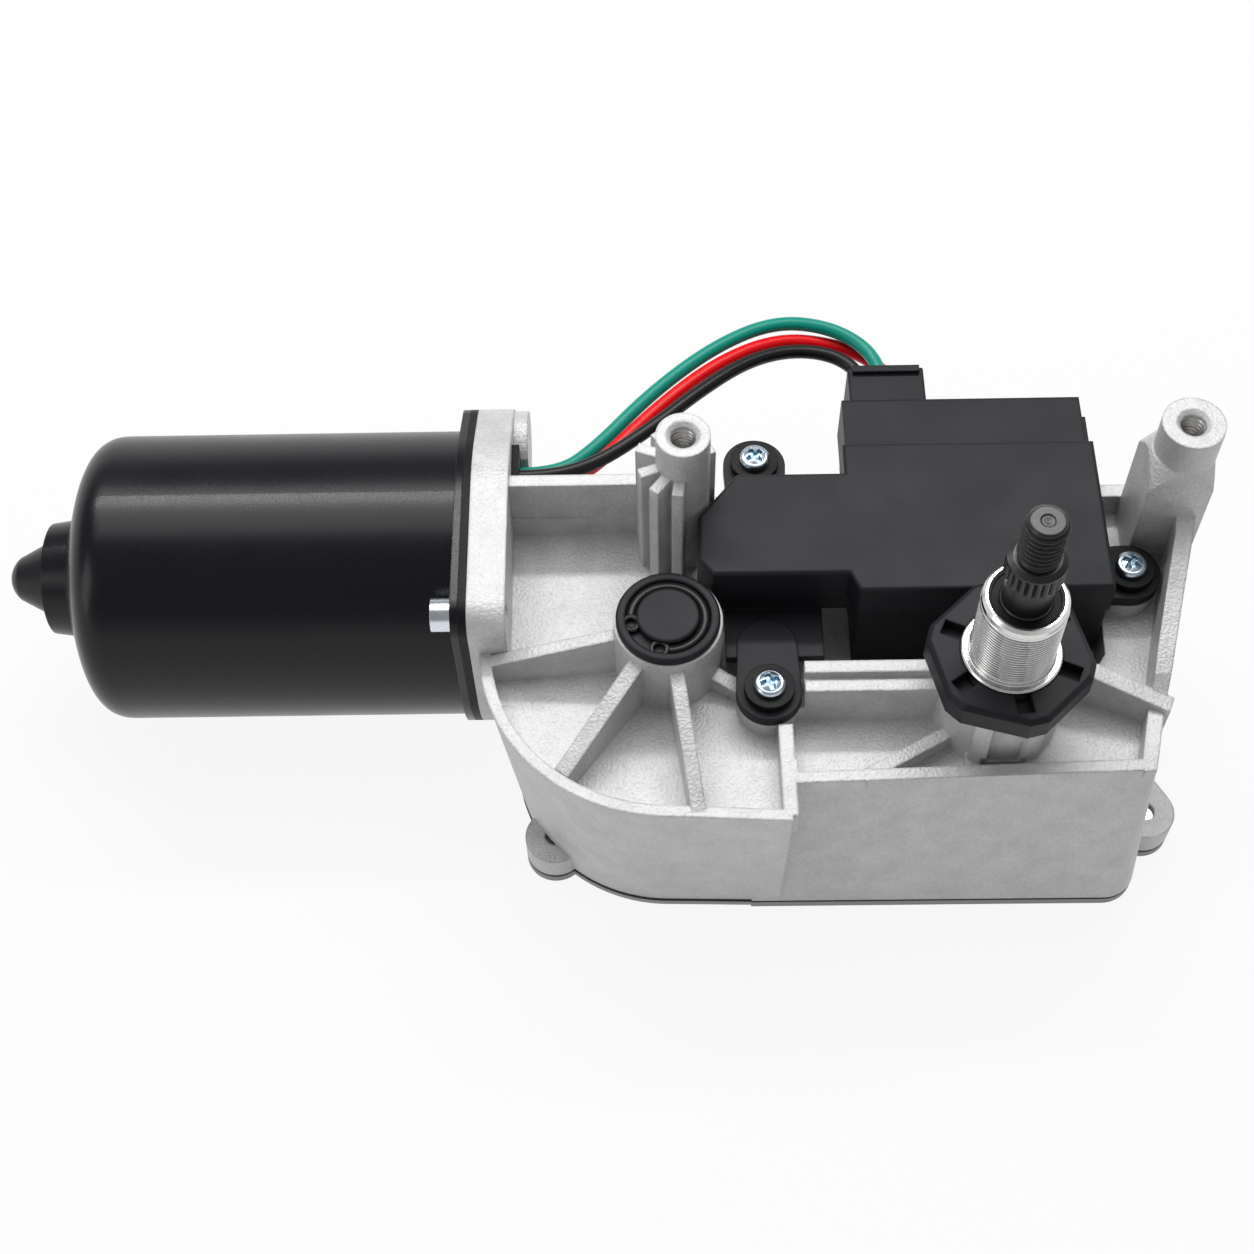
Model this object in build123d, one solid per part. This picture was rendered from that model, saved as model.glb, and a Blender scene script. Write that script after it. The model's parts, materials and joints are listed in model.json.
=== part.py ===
from build123d import *
import os
from math import atan2, cos, degrees, hypot, pi, radians, sin, sqrt, tan

# Wiper motor with a worm drive, an inner crank linkage and one output shaft.
# The frame: +X runs along the motor axis away from the can, +Z along the output
# shaft, and the origin is where the output shaft axis meets the bottom cover.

# Clearances
RUN = 0.04          # radial running fit of a shaft in its bush
FIT = 0.03          # radial gap of parts pressed or screwed together
AIR = 0.3           # gap between faces that pass each other

# Motor can
CAN_R = 30.0
CAN_WALL = 2.2
CAN_LENGTH = 70.8
CAN_SHOULDER = 11.5
CAN_RING_R = 12.6
CAN_RING_L = 5.5
NOSE_R = 8.5
NOSE_TIP_R = 4.6
NOSE_L = 9.5
NOSE_DOME = 2.2
NOSE_SEAT_R = 6.5
LIP_T = 1.6         # steel lip of the can
CAN_GASKET_T = 1.6
CAN_SCREW_R = 2.2
CAN_HEAD_R = 3.4
CAN_HEAD_H = 4.0
CAN_INNER_R = CAN_R - CAN_WALL

# Gear train, module 1
MODULE = 1.0
GEAR_TEETH = 51
WORM_PITCH_R = 4.75
ADDENDUM = 1.0
DEDENDUM = 1.25
BACKLASH = 0.45
PRESSURE = 20.0
WORM_TURNS = 8
GEAR_FACE = 8.0
GEAR_BORE_R = 5.0
HUB_WALL = 4.0
GEAR_RIM_T = 4.5
SPOKES = 6
SPOKE_T = 2.2
GEAR_PITCH_R = MODULE * GEAR_TEETH / 2
LEAD = pi * MODULE
LEAD_ANGLE = degrees(atan2(LEAD, 2 * pi * WORM_PITCH_R))
WORM_ROOT_R = WORM_PITCH_R - DEDENDUM

# Chamber of the gear and the casting's bulge round it
WALL = 3.5          # side walls of the casting
ROOF = 3.0          # roof over the linkage chamber
RIM_W = 2.4         # width of the upper rim
CHAMBER_R = GEAR_PITCH_R + ADDENDUM + 2.0
GEAR_BULGE_BASE = CHAMBER_R + WALL + 0.2
GEAR_BULGE_TOP = GEAR_BULGE_BASE + 5.0

# Axes and the joint face of the casting and the motor gasket
MOTOR_Y = 43.0
MOTOR_Z = CAN_R + 3.0
SHAFT_SPACING = 63.5    # gear axle to output shaft along X
GEAR_X = -SHAFT_SPACING
GEAR_Y = MOTOR_Y - WORM_PITCH_R - GEAR_PITCH_R
FLANGE_X = GEAR_X - GEAR_BULGE_TOP - 1.8

# Motor flange
FLANGE_T = 7.5
FLANGE_R = CAN_R + 1.4
EAR_R = 5.2
EAR_DIST = CAN_R + 6.6
EAR_ANGLE = 136.0   # of the front ear, from +Y towards +Z
BACK_LUG_R = 8.0
BACK_LUG_DIST = FLANGE_R - 4.9
BACK_LUG_ANGLE = 35.0

# Armature, magnets and bearings
BEARING_R = 8.0
BEARING_W = 5.0
REAR_BEARING_LIP = 1.0
END_BUSH_L = 4.0
ARM_SHAFT_R = 4.0
MAGNET_T = 2.6
MAGNET_SLIT = 6.0
CORE_GAP = 1.9      # between the magnets and the core
CAN_X1 = FLANGE_X - CAN_GASKET_T
CAN_DOME_X = CAN_X1 - LIP_T - CAN_LENGTH
CAN_END_X = CAN_DOME_X - CAN_SHOULDER
CAN_BACK_X = CAN_END_X - CAN_RING_L
CORE_R = CAN_INNER_R - AIR - MAGNET_T - CORE_GAP
CORE_X0 = CAN_DOME_X + 9.0
CORE_L = 38.0
CORE_SLOTS = 12
SLOT_DEPTH = 10.0
SLOT_W = 4.4
SLOT_MOUTH = 1.8
TOOTH_TIP = 2.0
WINDING_L = 6.0
WINDING_R0 = 6.5
WINDING_R = CORE_R - TOOTH_TIP - 0.5
COMM_R = 10.0
COMM_L = 14.0
COMM_X1 = CAN_X1 - 5.0
BAR_SLIT = 0.6
BAR_DEPTH = 1.2

# Brushes, which fill their boxes from the commutator to the springs
BRUSH_W = 5.0
BRUSH_X0 = COMM_X1 - COMM_L + 4.0
BRUSH_BOX_WALL = 1.6
HOLDER_R = CAN_INNER_R - AIR
HOLDER_T = 2.5
BRUSH_BOX_END = HOLDER_R - 2.5
SPRING_L = 4.0
SPRING_R = (2.0, 1.2)

# Levels of the casting above the resting face
COVER_T = 2.0       # bottom cover sheet
GASKET_T = 0.8      # bottom cover gasket
CASE_Z0 = COVER_T + GASKET_T
FLOOR_Z = MOTOR_Z + 13.0    # floors of the upper pockets
RIM_Z = FLOOR_Z + 6.0       # rim and rib tops
WELL_Z = MOTOR_Z + 4.0      # floor of the well under the controller box
LINK_ROOF = WELL_Z - ROOF
GEAR_Z0 = MOTOR_Z - GEAR_FACE / 2
GEAR_Z1 = MOTOR_Z + GEAR_FACE / 2
CHAMBER_TOP = GEAR_Z1 + 3.5
REAR_WALL_TOP = RIM_Z + 11.0

# Plan of the casting
STEP_X = GEAR_X + 22.9
FRONT_LEFT_TOP = GEAR_Y - GEAR_BULGE_TOP - 1.25
FRONT_TOP = -17.8
FRONT_BASE = -20.6
RIGHT_CORNER_TOP = (28.4, -16.0)
RIGHT_CORNER_BASE = (32.6, -20.4)
RIGHT_SIDE_TOP = (40.2, 31.2)
RIGHT_SIDE_BASE = (41.8, 31.0)
BACK_CORNER_X = (43.6, 43.0)    # at the base and at the rim
CASE_BACK = 50.0
REAR_WALL_Y = MOTOR_Y + 3.6
REAR_WALL_T = 2.7
WORM_TUBE_R = 13.0
WORM_BORE_R = 7.6
WORM_END_X = GEAR_X + 19.5
TUBE_END_X = WORM_END_X + 4.0

# Linkage
CRANK_R = 14.0
ROCKER_R = 17.0
ROD_T = 4.0
ROD_EYE_R = 6.2
ROD_W = 9.0
ROD_SLOT = (26.0, 4.0)
PIN_R = 3.0
PIN_BOSS_R = PIN_R + 3.0
ROD_Z0 = 13.0
ROD_Z1 = ROD_Z0 + ROD_T
ARM_T = 6.0
ARM_HUB_R = 9.0
ARM_EYE_R = 6.0
ARM_Z0 = ROD_Z1 + 3.0
ARM_Z1 = ARM_Z0 + ARM_T
WASHER_T = 1.0
GEAR_PLATE_Z0 = ROD_Z1 + 6.0
GEAR_PLATE_T = 3.0
CLIP_T = 1.0
CLIP_GROOVE = 0.8

# Output shaft and its tower
TOWER_R = 12.0
TOWER_TOP = RIM_Z + 12.5
BUSH_R = 6.3
UPPER_BUSH_L = 12.6
SEAL = (0.8, 3.2)       # depths of the seal's faces under the sleeve's top
SLEEVE_R = 8.0
SLEEVE_Z0 = TOWER_TOP - 14.5
SLEEVE_RING_R = 9.44
COLLAR_AF = 29.0
COLLAR_CUT_R = 15.7     # from the axis to the cut corners
COLLAR_TURN = 14.0
COLLAR_TOP = TOWER_TOP + 5.5
COLLAR_EDGE = 0.9
NOTCH_REACH = 13.4
NOTCH_W = 3.2
NOTCH_DEPTH = 2.5
NOTCH_TURN = 22
SLEEVE_RING_TOP = COLLAR_TOP + 0.6
SLEEVE_TOP = SLEEVE_RING_TOP + 18.1
SHAFT_R = 4.8
KNURL_R = 5.4
KNURL_Z0 = SLEEVE_TOP + 3.9
THREAD_R = 4.0
THREAD_Z0 = KNURL_Z0 + 6.6
THREAD_L = 13.2
SHAFT_TOP = THREAD_Z0 + THREAD_L
SHAFT_CHAMFER = 1.2

# Gear shaft boss
BOSS_R = 10.6
BOSS_TOP = RIM_Z + 9.6
AXLE_TOP = BOSS_TOP - 6.0
AXLE_COLLAR_R = GEAR_BORE_R + 2.0
CAP_R = 10.1
CAP_T = 1.6
CAP_SPIGOT_R = CAP_R - 1.6
CAP_SPIGOT_L = 5.0
CAP_DISC_R = 5.9
CAP_DISC_RISE = 0.5
CAP_GROOVE_R = 8.2
CAP_GROOVE_Z = BOSS_TOP + 0.4
RING_R = (8.0, 6.3)
RING_T = 0.9
RING_GAP = 6.0
RING_GAP_ANGLE = 232.0
RING_EYE_TURN = 30.0
RING_EYE_DIST = 7.1
RING_EYE_R = 1.05
RING_HOLE_R = 0.55

# Mounting posts
POST_TOP = RIM_Z + 33.0
POST_HOLE_R = 2.5
POST_HOLE_L = 18.0
LEFT_POST = (GEAR_X + 3.3, MOTOR_Y - 3.4)
RIGHT_POST = (36.7, 40.6)
LEFT_POST_R = 5.3
RIGHT_POST_R = 6.1
LEFT_NECK = POST_TOP - 8.0
FIN_T = 2.2
FINS = ((-160, 9.0), (-128, 9.4), (-98, 8.6), (160, 9.4), (128, 8.6), (75, 8.6), (25, 6.6))

# Bottom cover screws
LUG_R = 6.2
LUG_TOP = 9.0
LUGS = [(GEAR_X - 24.1, -7.6), (36.4, -3.6), (GEAR_X - 22.5, MOTOR_Y + 12.0), (40.0, 50.0)]
LUG_ROOTS = [(GEAR_X - 11.836, 1.4, LUG_R), (31.304, 5.4, LUG_R), (GEAR_X - 13.9, MOTOR_Y, LUG_R + 2),
             (36.0, 38.0, LUG_R + 2)]
COVER_SCREW_R = 2.0

# Controller box
BOX_TOP = RIM_Z + 14.0
LID_H = 8.5
BOX_SEAM = BOX_TOP - LID_H
BOX_BOTTOM = WELL_Z + 1.0
BOX_WALL = 2.0
BOX_EDGE = 0.8
BOX_FRONT = 16.2
BOX_RIGHT = 22.4
BOX_LEFT = -26.5
BOX_BACK = 51.2
WING_LEFT = GEAR_X + 5.9
WING_CORNER_X = WING_LEFT + 8.2
WING_FRONT = 20.3
WING_BACK = 44.1
WING_Z0 = RIM_Z + 0.6
REAR_TOP = BOX_TOP - 4.0
REAR_BACK = BOX_BACK + 14.3
REAR_BOTTOM = BOX_SEAM - 8.0
PLUG_X = (BOX_LEFT + 1.5, BOX_LEFT + 17.3)
PLUG_BACK = REAR_BACK + 9.0
PLUG_Z0 = REAR_BOTTOM - 7.9
PLUG_TOP = REAR_TOP - 1.4
EAR_TOP = RIM_Z + 1.4
EAR_T = 2.6
EAR_SEAT = EAR_TOP - EAR_T
BOX_EARS = [(GEAR_X + 19.4, 1.6), (GEAR_X + 18.5, 55.2), (28.6, 27.6)]
EAR_ROOTS = [(BOX_EARS[0][0], 12.0), (BOX_EARS[1][0], WING_BACK - 1.1), (20.0, BOX_EARS[2][1])]
BOX_EAR_R = 6.4
EAR_BOSS_R = 6.0
PLATE_X = (GEAR_X + 11.3, GEAR_X + 30.5)
PLATE_FRONT = 9.4
BOX_SCREW_R = 1.9
SCREW_HEAD_R = 3.1
SCREW_HEAD_H = 2.2
COLLAR_H = 1.8
COLLAR_R = 4.9
COLLAR_WALL = 1.6

# Wires
WIRE_R = 1.5
WIRE_X0 = FLANGE_X + FLANGE_T + 1.5
WIRE_Y = MOTOR_Y + 9.4
WIRE_Z = RIM_Z - 1.4
GROMMET_Y = (WIRE_Y - 3.1, WIRE_Y + 5.9)
GROMMET_Z = (WIRE_Z - 2.5, WIRE_Z + 7.1)
PLUG_END = (PLUG_X[0], PLUG_BACK, PLUG_Z0)


def can_point(dist, angle):
    """Y and Z of a point around the motor axis, the angle from +Y towards +Z."""
    return (MOTOR_Y + dist * cos(radians(angle)), MOTOR_Z + dist * sin(radians(angle)))


def prism(points, z0, z1):
    """Straight prism over a plan outline."""
    return extrude(Plane.XY.offset(z0) * make_face(Polyline(*points, close=True)), z1 - z0)


def block(x0, x1, y0, y1, z0, z1):
    """Box between two corners."""
    return Pos((x0 + x1) / 2, (y0 + y1) / 2, (z0 + z1) / 2) * Box(x1 - x0, y1 - y0, z1 - z0)


def rod_z(x, y, r, z0, z1):
    """Upright cylinder."""
    return Pos(x, y, (z0 + z1) / 2) * Cylinder(r, z1 - z0)


def ring_z(x, y, r_out, r_in, z0, z1):
    """Upright ring."""
    return rod_z(x, y, r_out, z0, z1) - rod_z(x, y, r_in, z0 - 1, z1 + 1)


def rod_x(y, z, r, x0, x1):
    """Cylinder along X."""
    return Pos((x0 + x1) / 2, y, z) * Rot(0, 90, 0) * Cylinder(r, x1 - x0)


def motor_rod(r, x0, x1):
    """Cylinder on the motor axis."""
    return rod_x(MOTOR_Y, MOTOR_Z, r, x0, x1)


def motor_turned(profile):
    """Body of revolution about the motor axis from (x, radius) points."""
    outline = Plane.XZ * make_face(Polyline(*profile, close=True))
    return Pos(0, MOTOR_Y, MOTOR_Z) * revolve(outline, Axis.X)


def hull_z(circles, z0, z1):
    """Prism over the hull of plan circles given as (x, y, radius)."""
    edges = [edge for x, y, r in circles for edge in (Pos(x, y) * Circle(r)).edges()]
    return extrude(Pos(0, 0, z0) * make_hull(edges), z1 - z0)


def wedge(start, end, z_start, z_end, width, z0):
    """Upright web between two plan points whose top runs from one height to another."""
    length = hypot(end[0] - start[0], end[1] - start[1])
    turn = degrees(atan2(end[1] - start[1], end[0] - start[0]))
    side = make_face(Polyline((0, z0), (length, z0), (length, z_end), (0, z_start), close=True))
    return Pos(*start) * Rot(0, 0, turn) * extrude(Plane.XZ * side, width / 2, both=True)


def one(shape):
    """The single solid of a shape, or the shape itself if it holds several."""
    solids = shape.solids()
    return solids[0] if len(solids) == 1 else Compound(solids)


# Casting


def flange_outline():
    """Lens-shaped flange with two ears and a back lug, drawn in the YZ plane."""
    circles = [(MOTOR_Y, MOTOR_Z, FLANGE_R)]
    for dist, angle, r in ((EAR_DIST, EAR_ANGLE, EAR_R), (EAR_DIST, EAR_ANGLE - 180, EAR_R),
                           (BACK_LUG_DIST, BACK_LUG_ANGLE, BACK_LUG_R)):
        circles.append((*can_point(dist, angle), r))
    edges = [edge for y, z, r in circles for edge in (Pos(y, z) * Circle(r)).edges()]
    return make_hull(edges)


def flange_plate(x0, x1):
    """Plate with the flange outline between two places on X."""
    return extrude(Plane.YZ.offset(x0) * flange_outline(), x1 - x0)


def can_screw_places():
    """The two ears that the motor screws pass, as (y, z)."""
    return [can_point(EAR_DIST, EAR_ANGLE), can_point(EAR_DIST, EAR_ANGLE - 180)]


def lofted(base, top, z0, z1, base_radius, top_radius):
    """Tapered block between two plan outlines whose second corner is rounded."""
    faces = []
    for points, z, r in ((base, z0, base_radius), (top, z1, top_radius)):
        radii = [0, r] + [0] * (len(points) - 2)
        faces.append(Pos(0, 0, z) * make_face(FilletPolyline(*points, radius=radii, close=True)))
    return loft(faces, ruled=True)


def housing_body():
    """Outer blocks of the casting: gear bulge, front step and tapered right end."""
    height = RIM_Z - CASE_Z0
    bulge = Pos(GEAR_X, GEAR_Y, CASE_Z0 + height / 2) * Cone(GEAR_BULGE_BASE, GEAR_BULGE_TOP, height)
    back = CASE_BACK - 5
    front = loft([
        Pos(0, 0, CASE_Z0) * make_face(Polyline(
            (GEAR_X, GEAR_Y - GEAR_BULGE_BASE), (STEP_X, FRONT_BASE + 0.6), (STEP_X, back), (GEAR_X, back),
            close=True)),
        Pos(0, 0, RIM_Z) * make_face(Polyline(
            (GEAR_X, GEAR_Y - GEAR_BULGE_TOP), (STEP_X, FRONT_LEFT_TOP), (STEP_X, back), (GEAR_X, back),
            close=True))], ruled=True)
    base = [(STEP_X - 6, FRONT_BASE + 0.4), RIGHT_CORNER_BASE, RIGHT_SIDE_BASE, (BACK_CORNER_X[0], CASE_BACK),
            (STEP_X - 6, CASE_BACK)]
    top = [(STEP_X, FRONT_TOP), RIGHT_CORNER_TOP, RIGHT_SIDE_TOP, (BACK_CORNER_X[1], CASE_BACK),
           (STEP_X, CASE_BACK)]
    right = lofted(base, top, CASE_Z0, RIM_Z, 7.0, 2.0)
    left_back = block(FLANGE_X + FLANGE_T - 1, STEP_X, GEAR_Y, REAR_WALL_Y, CASE_Z0 + 12, RIM_Z)
    tube = motor_rod(WORM_TUBE_R, FLANGE_X + FLANGE_T - 1, TUBE_END_X)
    body = bulge + front + right + left_back + tube
    for (x, y), root in zip(LUGS, LUG_ROOTS):
        body += hull_z([(x, y, LUG_R), root], CASE_Z0, LUG_TOP)
    return body


def housing_pockets():
    """Hollows of the upper face, between the rim and the ribs, and the box well."""
    left = rod_z(GEAR_X, GEAR_Y, GEAR_BULGE_TOP - RIM_W, FLOOR_Z, RIM_Z + 1)
    left += prism([(GEAR_X, GEAR_Y - GEAR_BULGE_TOP + RIM_W), (STEP_X - 1.2, FRONT_LEFT_TOP + RIM_W),
                   (STEP_X - 1.2, MOTOR_Y - 1), (GEAR_X, MOTOR_Y - 1)], FLOOR_Z, RIM_Z + 1)
    left += block(FLANGE_X + FLANGE_T, STEP_X, 12.0, REAR_WALL_Y - 3.0, FLOOR_Z, RIM_Z + 1)
    corner = (RIGHT_CORNER_TOP[0] - RIM_W, RIGHT_CORNER_TOP[1] + RIM_W)
    side = (RIGHT_SIDE_TOP[0] - 3.6, RIGHT_SIDE_TOP[1] - 0.2)
    right = prism([(STEP_X + 1.4, FRONT_TOP + RIM_W), corner, side, (BACK_CORNER_X[1] - 4, CASE_BACK - 3),
                   (STEP_X + 1.4, CASE_BACK - 3)], FLOOR_Z, RIM_Z + 1)
    well_left = BOX_LEFT - 9.5
    well = prism([(BOX_LEFT - 4.5, 7.0), (BOX_RIGHT - 2.9, 7.0), (BOX_RIGHT + 1.0, 13.0),
                  (BOX_RIGHT + 2.6, CASE_BACK + 1), (well_left, CASE_BACK + 1), (well_left, 14.0)],
                 WELL_Z, RIM_Z + 1)
    x, y = BOX_EARS[1]
    ear = block(x - BOX_EAR_R - 1, x + BOX_EAR_R + 1, 36.0, y, EAR_SEAT - AIR, RIM_Z + 1)
    return left + right + well + ear


def housing_ribs():
    """Ribs that run from the gear boss and the tower to the rim, and the rails."""
    boss = (GEAR_X, GEAR_Y)
    low = FLOOR_Z - 1
    ribs = wedge(boss, (GEAR_X - 35.1, GEAR_Y - 2.95), BOSS_TOP - 1, RIM_Z, 2.6, low)
    ribs += wedge(boss, (GEAR_X - 20.7, GEAR_Y - 27.75), BOSS_TOP + 1, RIM_Z, 3.2, low)
    ribs += wedge(boss, (GEAR_X + 5.3, GEAR_Y - 36.35), BOSS_TOP + 1, RIM_Z, 2.8, low)
    ribs += wedge(boss, BOX_EARS[0], FLOOR_Z + 6.0, FLOOR_Z + 2.0, 3.0, low)
    ear_front = (STEP_X - 0.6, BOX_EARS[0][1] - BOX_EAR_R - AIR)
    ribs += wedge(ear_front, (STEP_X - 0.4, FRONT_LEFT_TOP + 1.1), RIM_Z, RIM_Z, 2.8, low)
    ribs += wedge((0, 0), (-27.0, -16.6), FLOOR_Z + 2.6, RIM_Z, 2.6, low)
    ribs += wedge((6.0, 9.0), (33.0, -2.6), RIM_Z + 6.0, RIM_Z + 1.0, 3.4, low)
    rail_x = BOX_EARS[0][0] + BOX_EAR_R + AIR
    front_rail = block(rail_x, 0, -0.8, 1.6, WELL_Z, RIM_Z + 5.0)
    back_rail = block(rail_x, 0, 3.0, 5.6, WELL_Z, RIM_Z + 5.6)
    link = block(rail_x, 0, 1.4, 3.2, WELL_Z, RIM_Z + 3.6)
    foot = block(BOX_EARS[0][0], rail_x + 1, -0.8, 5.6, WELL_Z, EAR_SEAT - AIR)
    return ribs + front_rail + back_rail + link + foot


def raised_wall():
    """Right wall that climbs from the rim to the right post."""
    strip = prism([(26.0, -16.4), RIGHT_CORNER_TOP, RIGHT_SIDE_TOP, (42.0, 40.0), (38.0, 41.0),
                   (RIGHT_SIDE_TOP[0] - 3.6, RIGHT_SIDE_TOP[1] - 0.2), (31.0, 8.0)], FLOOR_Z - 1, POST_TOP)
    slope = Plane.YZ * make_face(Polyline(
        (-17.0, FLOOR_Z - 1), (-17.0, RIM_Z), (-3.0, RIM_Z), (3.0, RIM_Z + 3.4), (20.0, RIM_Z + 7.0),
        (34.0, RIM_Z + 11.0), (41.5, RIM_Z + 15.0), (41.5, FLOOR_Z - 1), close=True))
    return strip & extrude(slope, 60.0)


def left_post():
    """Round post with radial fins on the sides away from the controller box."""
    x, y = LEFT_POST
    post = rod_z(x, y, LEFT_POST_R, FLOOR_Z - 1, POST_TOP)
    for angle, reach in FINS:
        post += Pos(x, y) * Rot(0, 0, angle) * block(0, reach, -FIN_T / 2, FIN_T / 2, FLOOR_Z - 1, LEFT_NECK)
    return post


def right_post():
    """Round post that grows into a wide body with sloped facets at its neck."""
    x, y = RIGHT_POST
    half = 6.25
    body = block(x - half - 0.6, x + half - 0.6, y - half, y + half, CASE_Z0 + 20, POST_TOP - 8.0)
    shoulder = Pos(x - 0.4, y, 0) * Pos(0, 0, POST_TOP - 12.0) * Cone(11.0, 5.0, 12.0)
    rest = block(x - 12, x + 12, y - 12, y + 12, CASE_Z0, POST_TOP - 18.0)
    return rod_z(x, y, RIGHT_POST_R, FLOOR_Z, POST_TOP) + (body & (shoulder + rest))


def tower():
    """Boss round the output shaft with two guide lugs at its front."""
    post = rod_z(0, 0, TOWER_R, LINK_ROOF - 1, TOWER_TOP)
    for angle in (-113, -67):
        post += Rot(0, 0, angle) * block(TOWER_R - 2, TOWER_R + 1.2, -1.8, 1.8, FLOOR_Z - 1, TOWER_TOP - 1.5)
    post += block(-7.0, 7.0, -16.0, 0, FLOOR_Z - 1, FLOOR_Z + 3.0)
    return post - block(-4.2, 4.2, -14.6, -TOWER_R - 0.2, FLOOR_Z, FLOOR_Z + 5)


def link_plan(inset):
    """Outline of the linkage chamber, whose front lies a bit behind the wall."""
    front = FRONT_BASE + WALL + inset
    return [(GEAR_X, GEAR_Y - 24.0), (STEP_X, front), (22.0, front), (29.0, -8.0), (37.0, 31.0),
            (39.0, CASE_BACK - WALL), (GEAR_X + 20, CASE_BACK - WALL), (GEAR_X + 8, GEAR_Y + 20.0)]


def housing_cavity():
    """Chambers for the gear, the linkage and the worm, and the shaft bores."""
    gear_room = rod_z(GEAR_X, GEAR_Y, CHAMBER_R, CASE_Z0 - 1, CHAMBER_TOP)
    link_room = prism(link_plan(1.2), CASE_Z0 - 1, LINK_ROOF)
    tube_keep = motor_rod(WORM_TUBE_R, GEAR_X + 3.5, TUBE_END_X)
    worm_bore = motor_rod(WORM_BORE_R, FLANGE_X - 1, WORM_END_X)
    bearing_seat = motor_rod(BEARING_R + FIT, FLANGE_X - 1, FLANGE_X + BEARING_W)
    cavity = gear_room + (link_room - tube_keep) + worm_bore + bearing_seat
    cavity += rod_z(GEAR_X, GEAR_Y, AXLE_COLLAR_R + FIT, CHAMBER_TOP - 1, AXLE_TOP)
    cavity += rod_z(GEAR_X, GEAR_Y, CAP_SPIGOT_R, AXLE_TOP, BOSS_TOP + 1)
    cavity += rod_z(0, 0, BUSH_R + FIT, LINK_ROOF - 2, SLEEVE_Z0)
    cavity += rod_z(0, 0, SLEEVE_R + FIT, SLEEVE_Z0, TOWER_TOP + 1)
    return cavity


def gear_housing():
    """Die-cast aluminium housing of the gear, the linkage and the output shaft."""
    body = housing_body() - housing_pockets()
    body += housing_ribs() + raised_wall()
    body += block(FLANGE_X + FLANGE_T - 1, LEFT_POST[0], REAR_WALL_Y - REAR_WALL_T, REAR_WALL_Y, FLOOR_Z - 2,
                  REAR_WALL_TOP)
    body += rod_z(GEAR_X, GEAR_Y, BOSS_R, FLOOR_Z - 1, BOSS_TOP)
    for x, y in BOX_EARS:
        body += rod_z(x, y, EAR_BOSS_R, WELL_Z - 2, EAR_SEAT)
    ear_x, ear_y = BOX_EARS[1]
    body += block(ear_x - 5, ear_x + 5, MOTOR_Y - 3, ear_y, WELL_Z - 4, FLOOR_Z)
    body += left_post() + right_post() + tower()
    body += flange_plate(FLANGE_X, FLANGE_X + FLANGE_T)
    lug = can_point(BACK_LUG_DIST, BACK_LUG_ANGLE)
    body += rod_x(*lug, BACK_LUG_R - 0.4, FLANGE_X, FLANGE_X + FLANGE_T + 3)
    body -= housing_cavity()
    for x, y in (LEFT_POST, RIGHT_POST):
        body -= rod_z(x, y, POST_HOLE_R, POST_TOP - POST_HOLE_L, POST_TOP + 1)
        body -= Pos(x, y, POST_TOP - 0.4) * Cone(POST_HOLE_R, POST_HOLE_R + 0.9, 0.9)
    for x, y in BOX_EARS:
        body -= rod_z(x, y, BOX_SCREW_R + FIT, WELL_Z + 4, EAR_TOP)
    for x, y in LUGS:
        body -= rod_z(x, y, COVER_SCREW_R + FIT, CASE_Z0 - 1, LUG_TOP + 1)
    for y, z in can_screw_places():
        body -= rod_x(y, z, CAN_SCREW_R + FIT, FLANGE_X - 1, FLANGE_X + FLANGE_T + 6)
    return body - block(FLANGE_X - 1, FLANGE_X + FLANGE_T + 4, *GROMMET_Y, *GROMMET_Z)


# Motor


def motor_can():
    """Deep-drawn steel can with a rounded end, a bearing ring and the joint lip."""
    inner = CAN_INNER_R
    x1 = CAN_X1
    ring_face = CAN_END_X + REAR_BEARING_LIP
    with BuildSketch(Plane.XZ) as section:
        with BuildLine():
            Line((x1, inner), (x1, CAN_R))
            Line((x1, CAN_R), (CAN_DOME_X, CAN_R))
            Spline((CAN_DOME_X, CAN_R), (CAN_DOME_X - 0.72 * CAN_SHOULDER, CAN_R - 8.0),
                   (CAN_END_X, CAN_RING_R), tangents=((-1, 0), (-0.25, -1)))
            Line((CAN_END_X, CAN_RING_R), (CAN_BACK_X, CAN_RING_R - 0.8))
            Line((CAN_BACK_X, CAN_RING_R - 0.8), (CAN_BACK_X, NOSE_SEAT_R))
            Line((CAN_BACK_X, NOSE_SEAT_R), (ring_face, NOSE_SEAT_R))
            Line((ring_face, NOSE_SEAT_R), (ring_face, CAN_RING_R - 2.0))
            Spline((ring_face, CAN_RING_R - 2.0), (CAN_DOME_X - 0.6 * CAN_SHOULDER, CAN_R - 9.6),
                   (CAN_DOME_X, inner), tangents=((0.25, 1), (1, 0)))
            Line((CAN_DOME_X, inner), (x1, inner))
        make_face()
    can = Pos(0, MOTOR_Y, MOTOR_Z) * revolve(section.sketch, Axis.X)
    lip = flange_plate(x1 - LIP_T, x1) - motor_rod(CAN_R - 0.5, x1 - LIP_T - 1, x1 + 1)
    for y, z in can_screw_places():
        lip -= rod_x(y, z, CAN_SCREW_R + FIT, x1 - LIP_T - 1, x1 + 1)
    return can + lip


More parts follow.
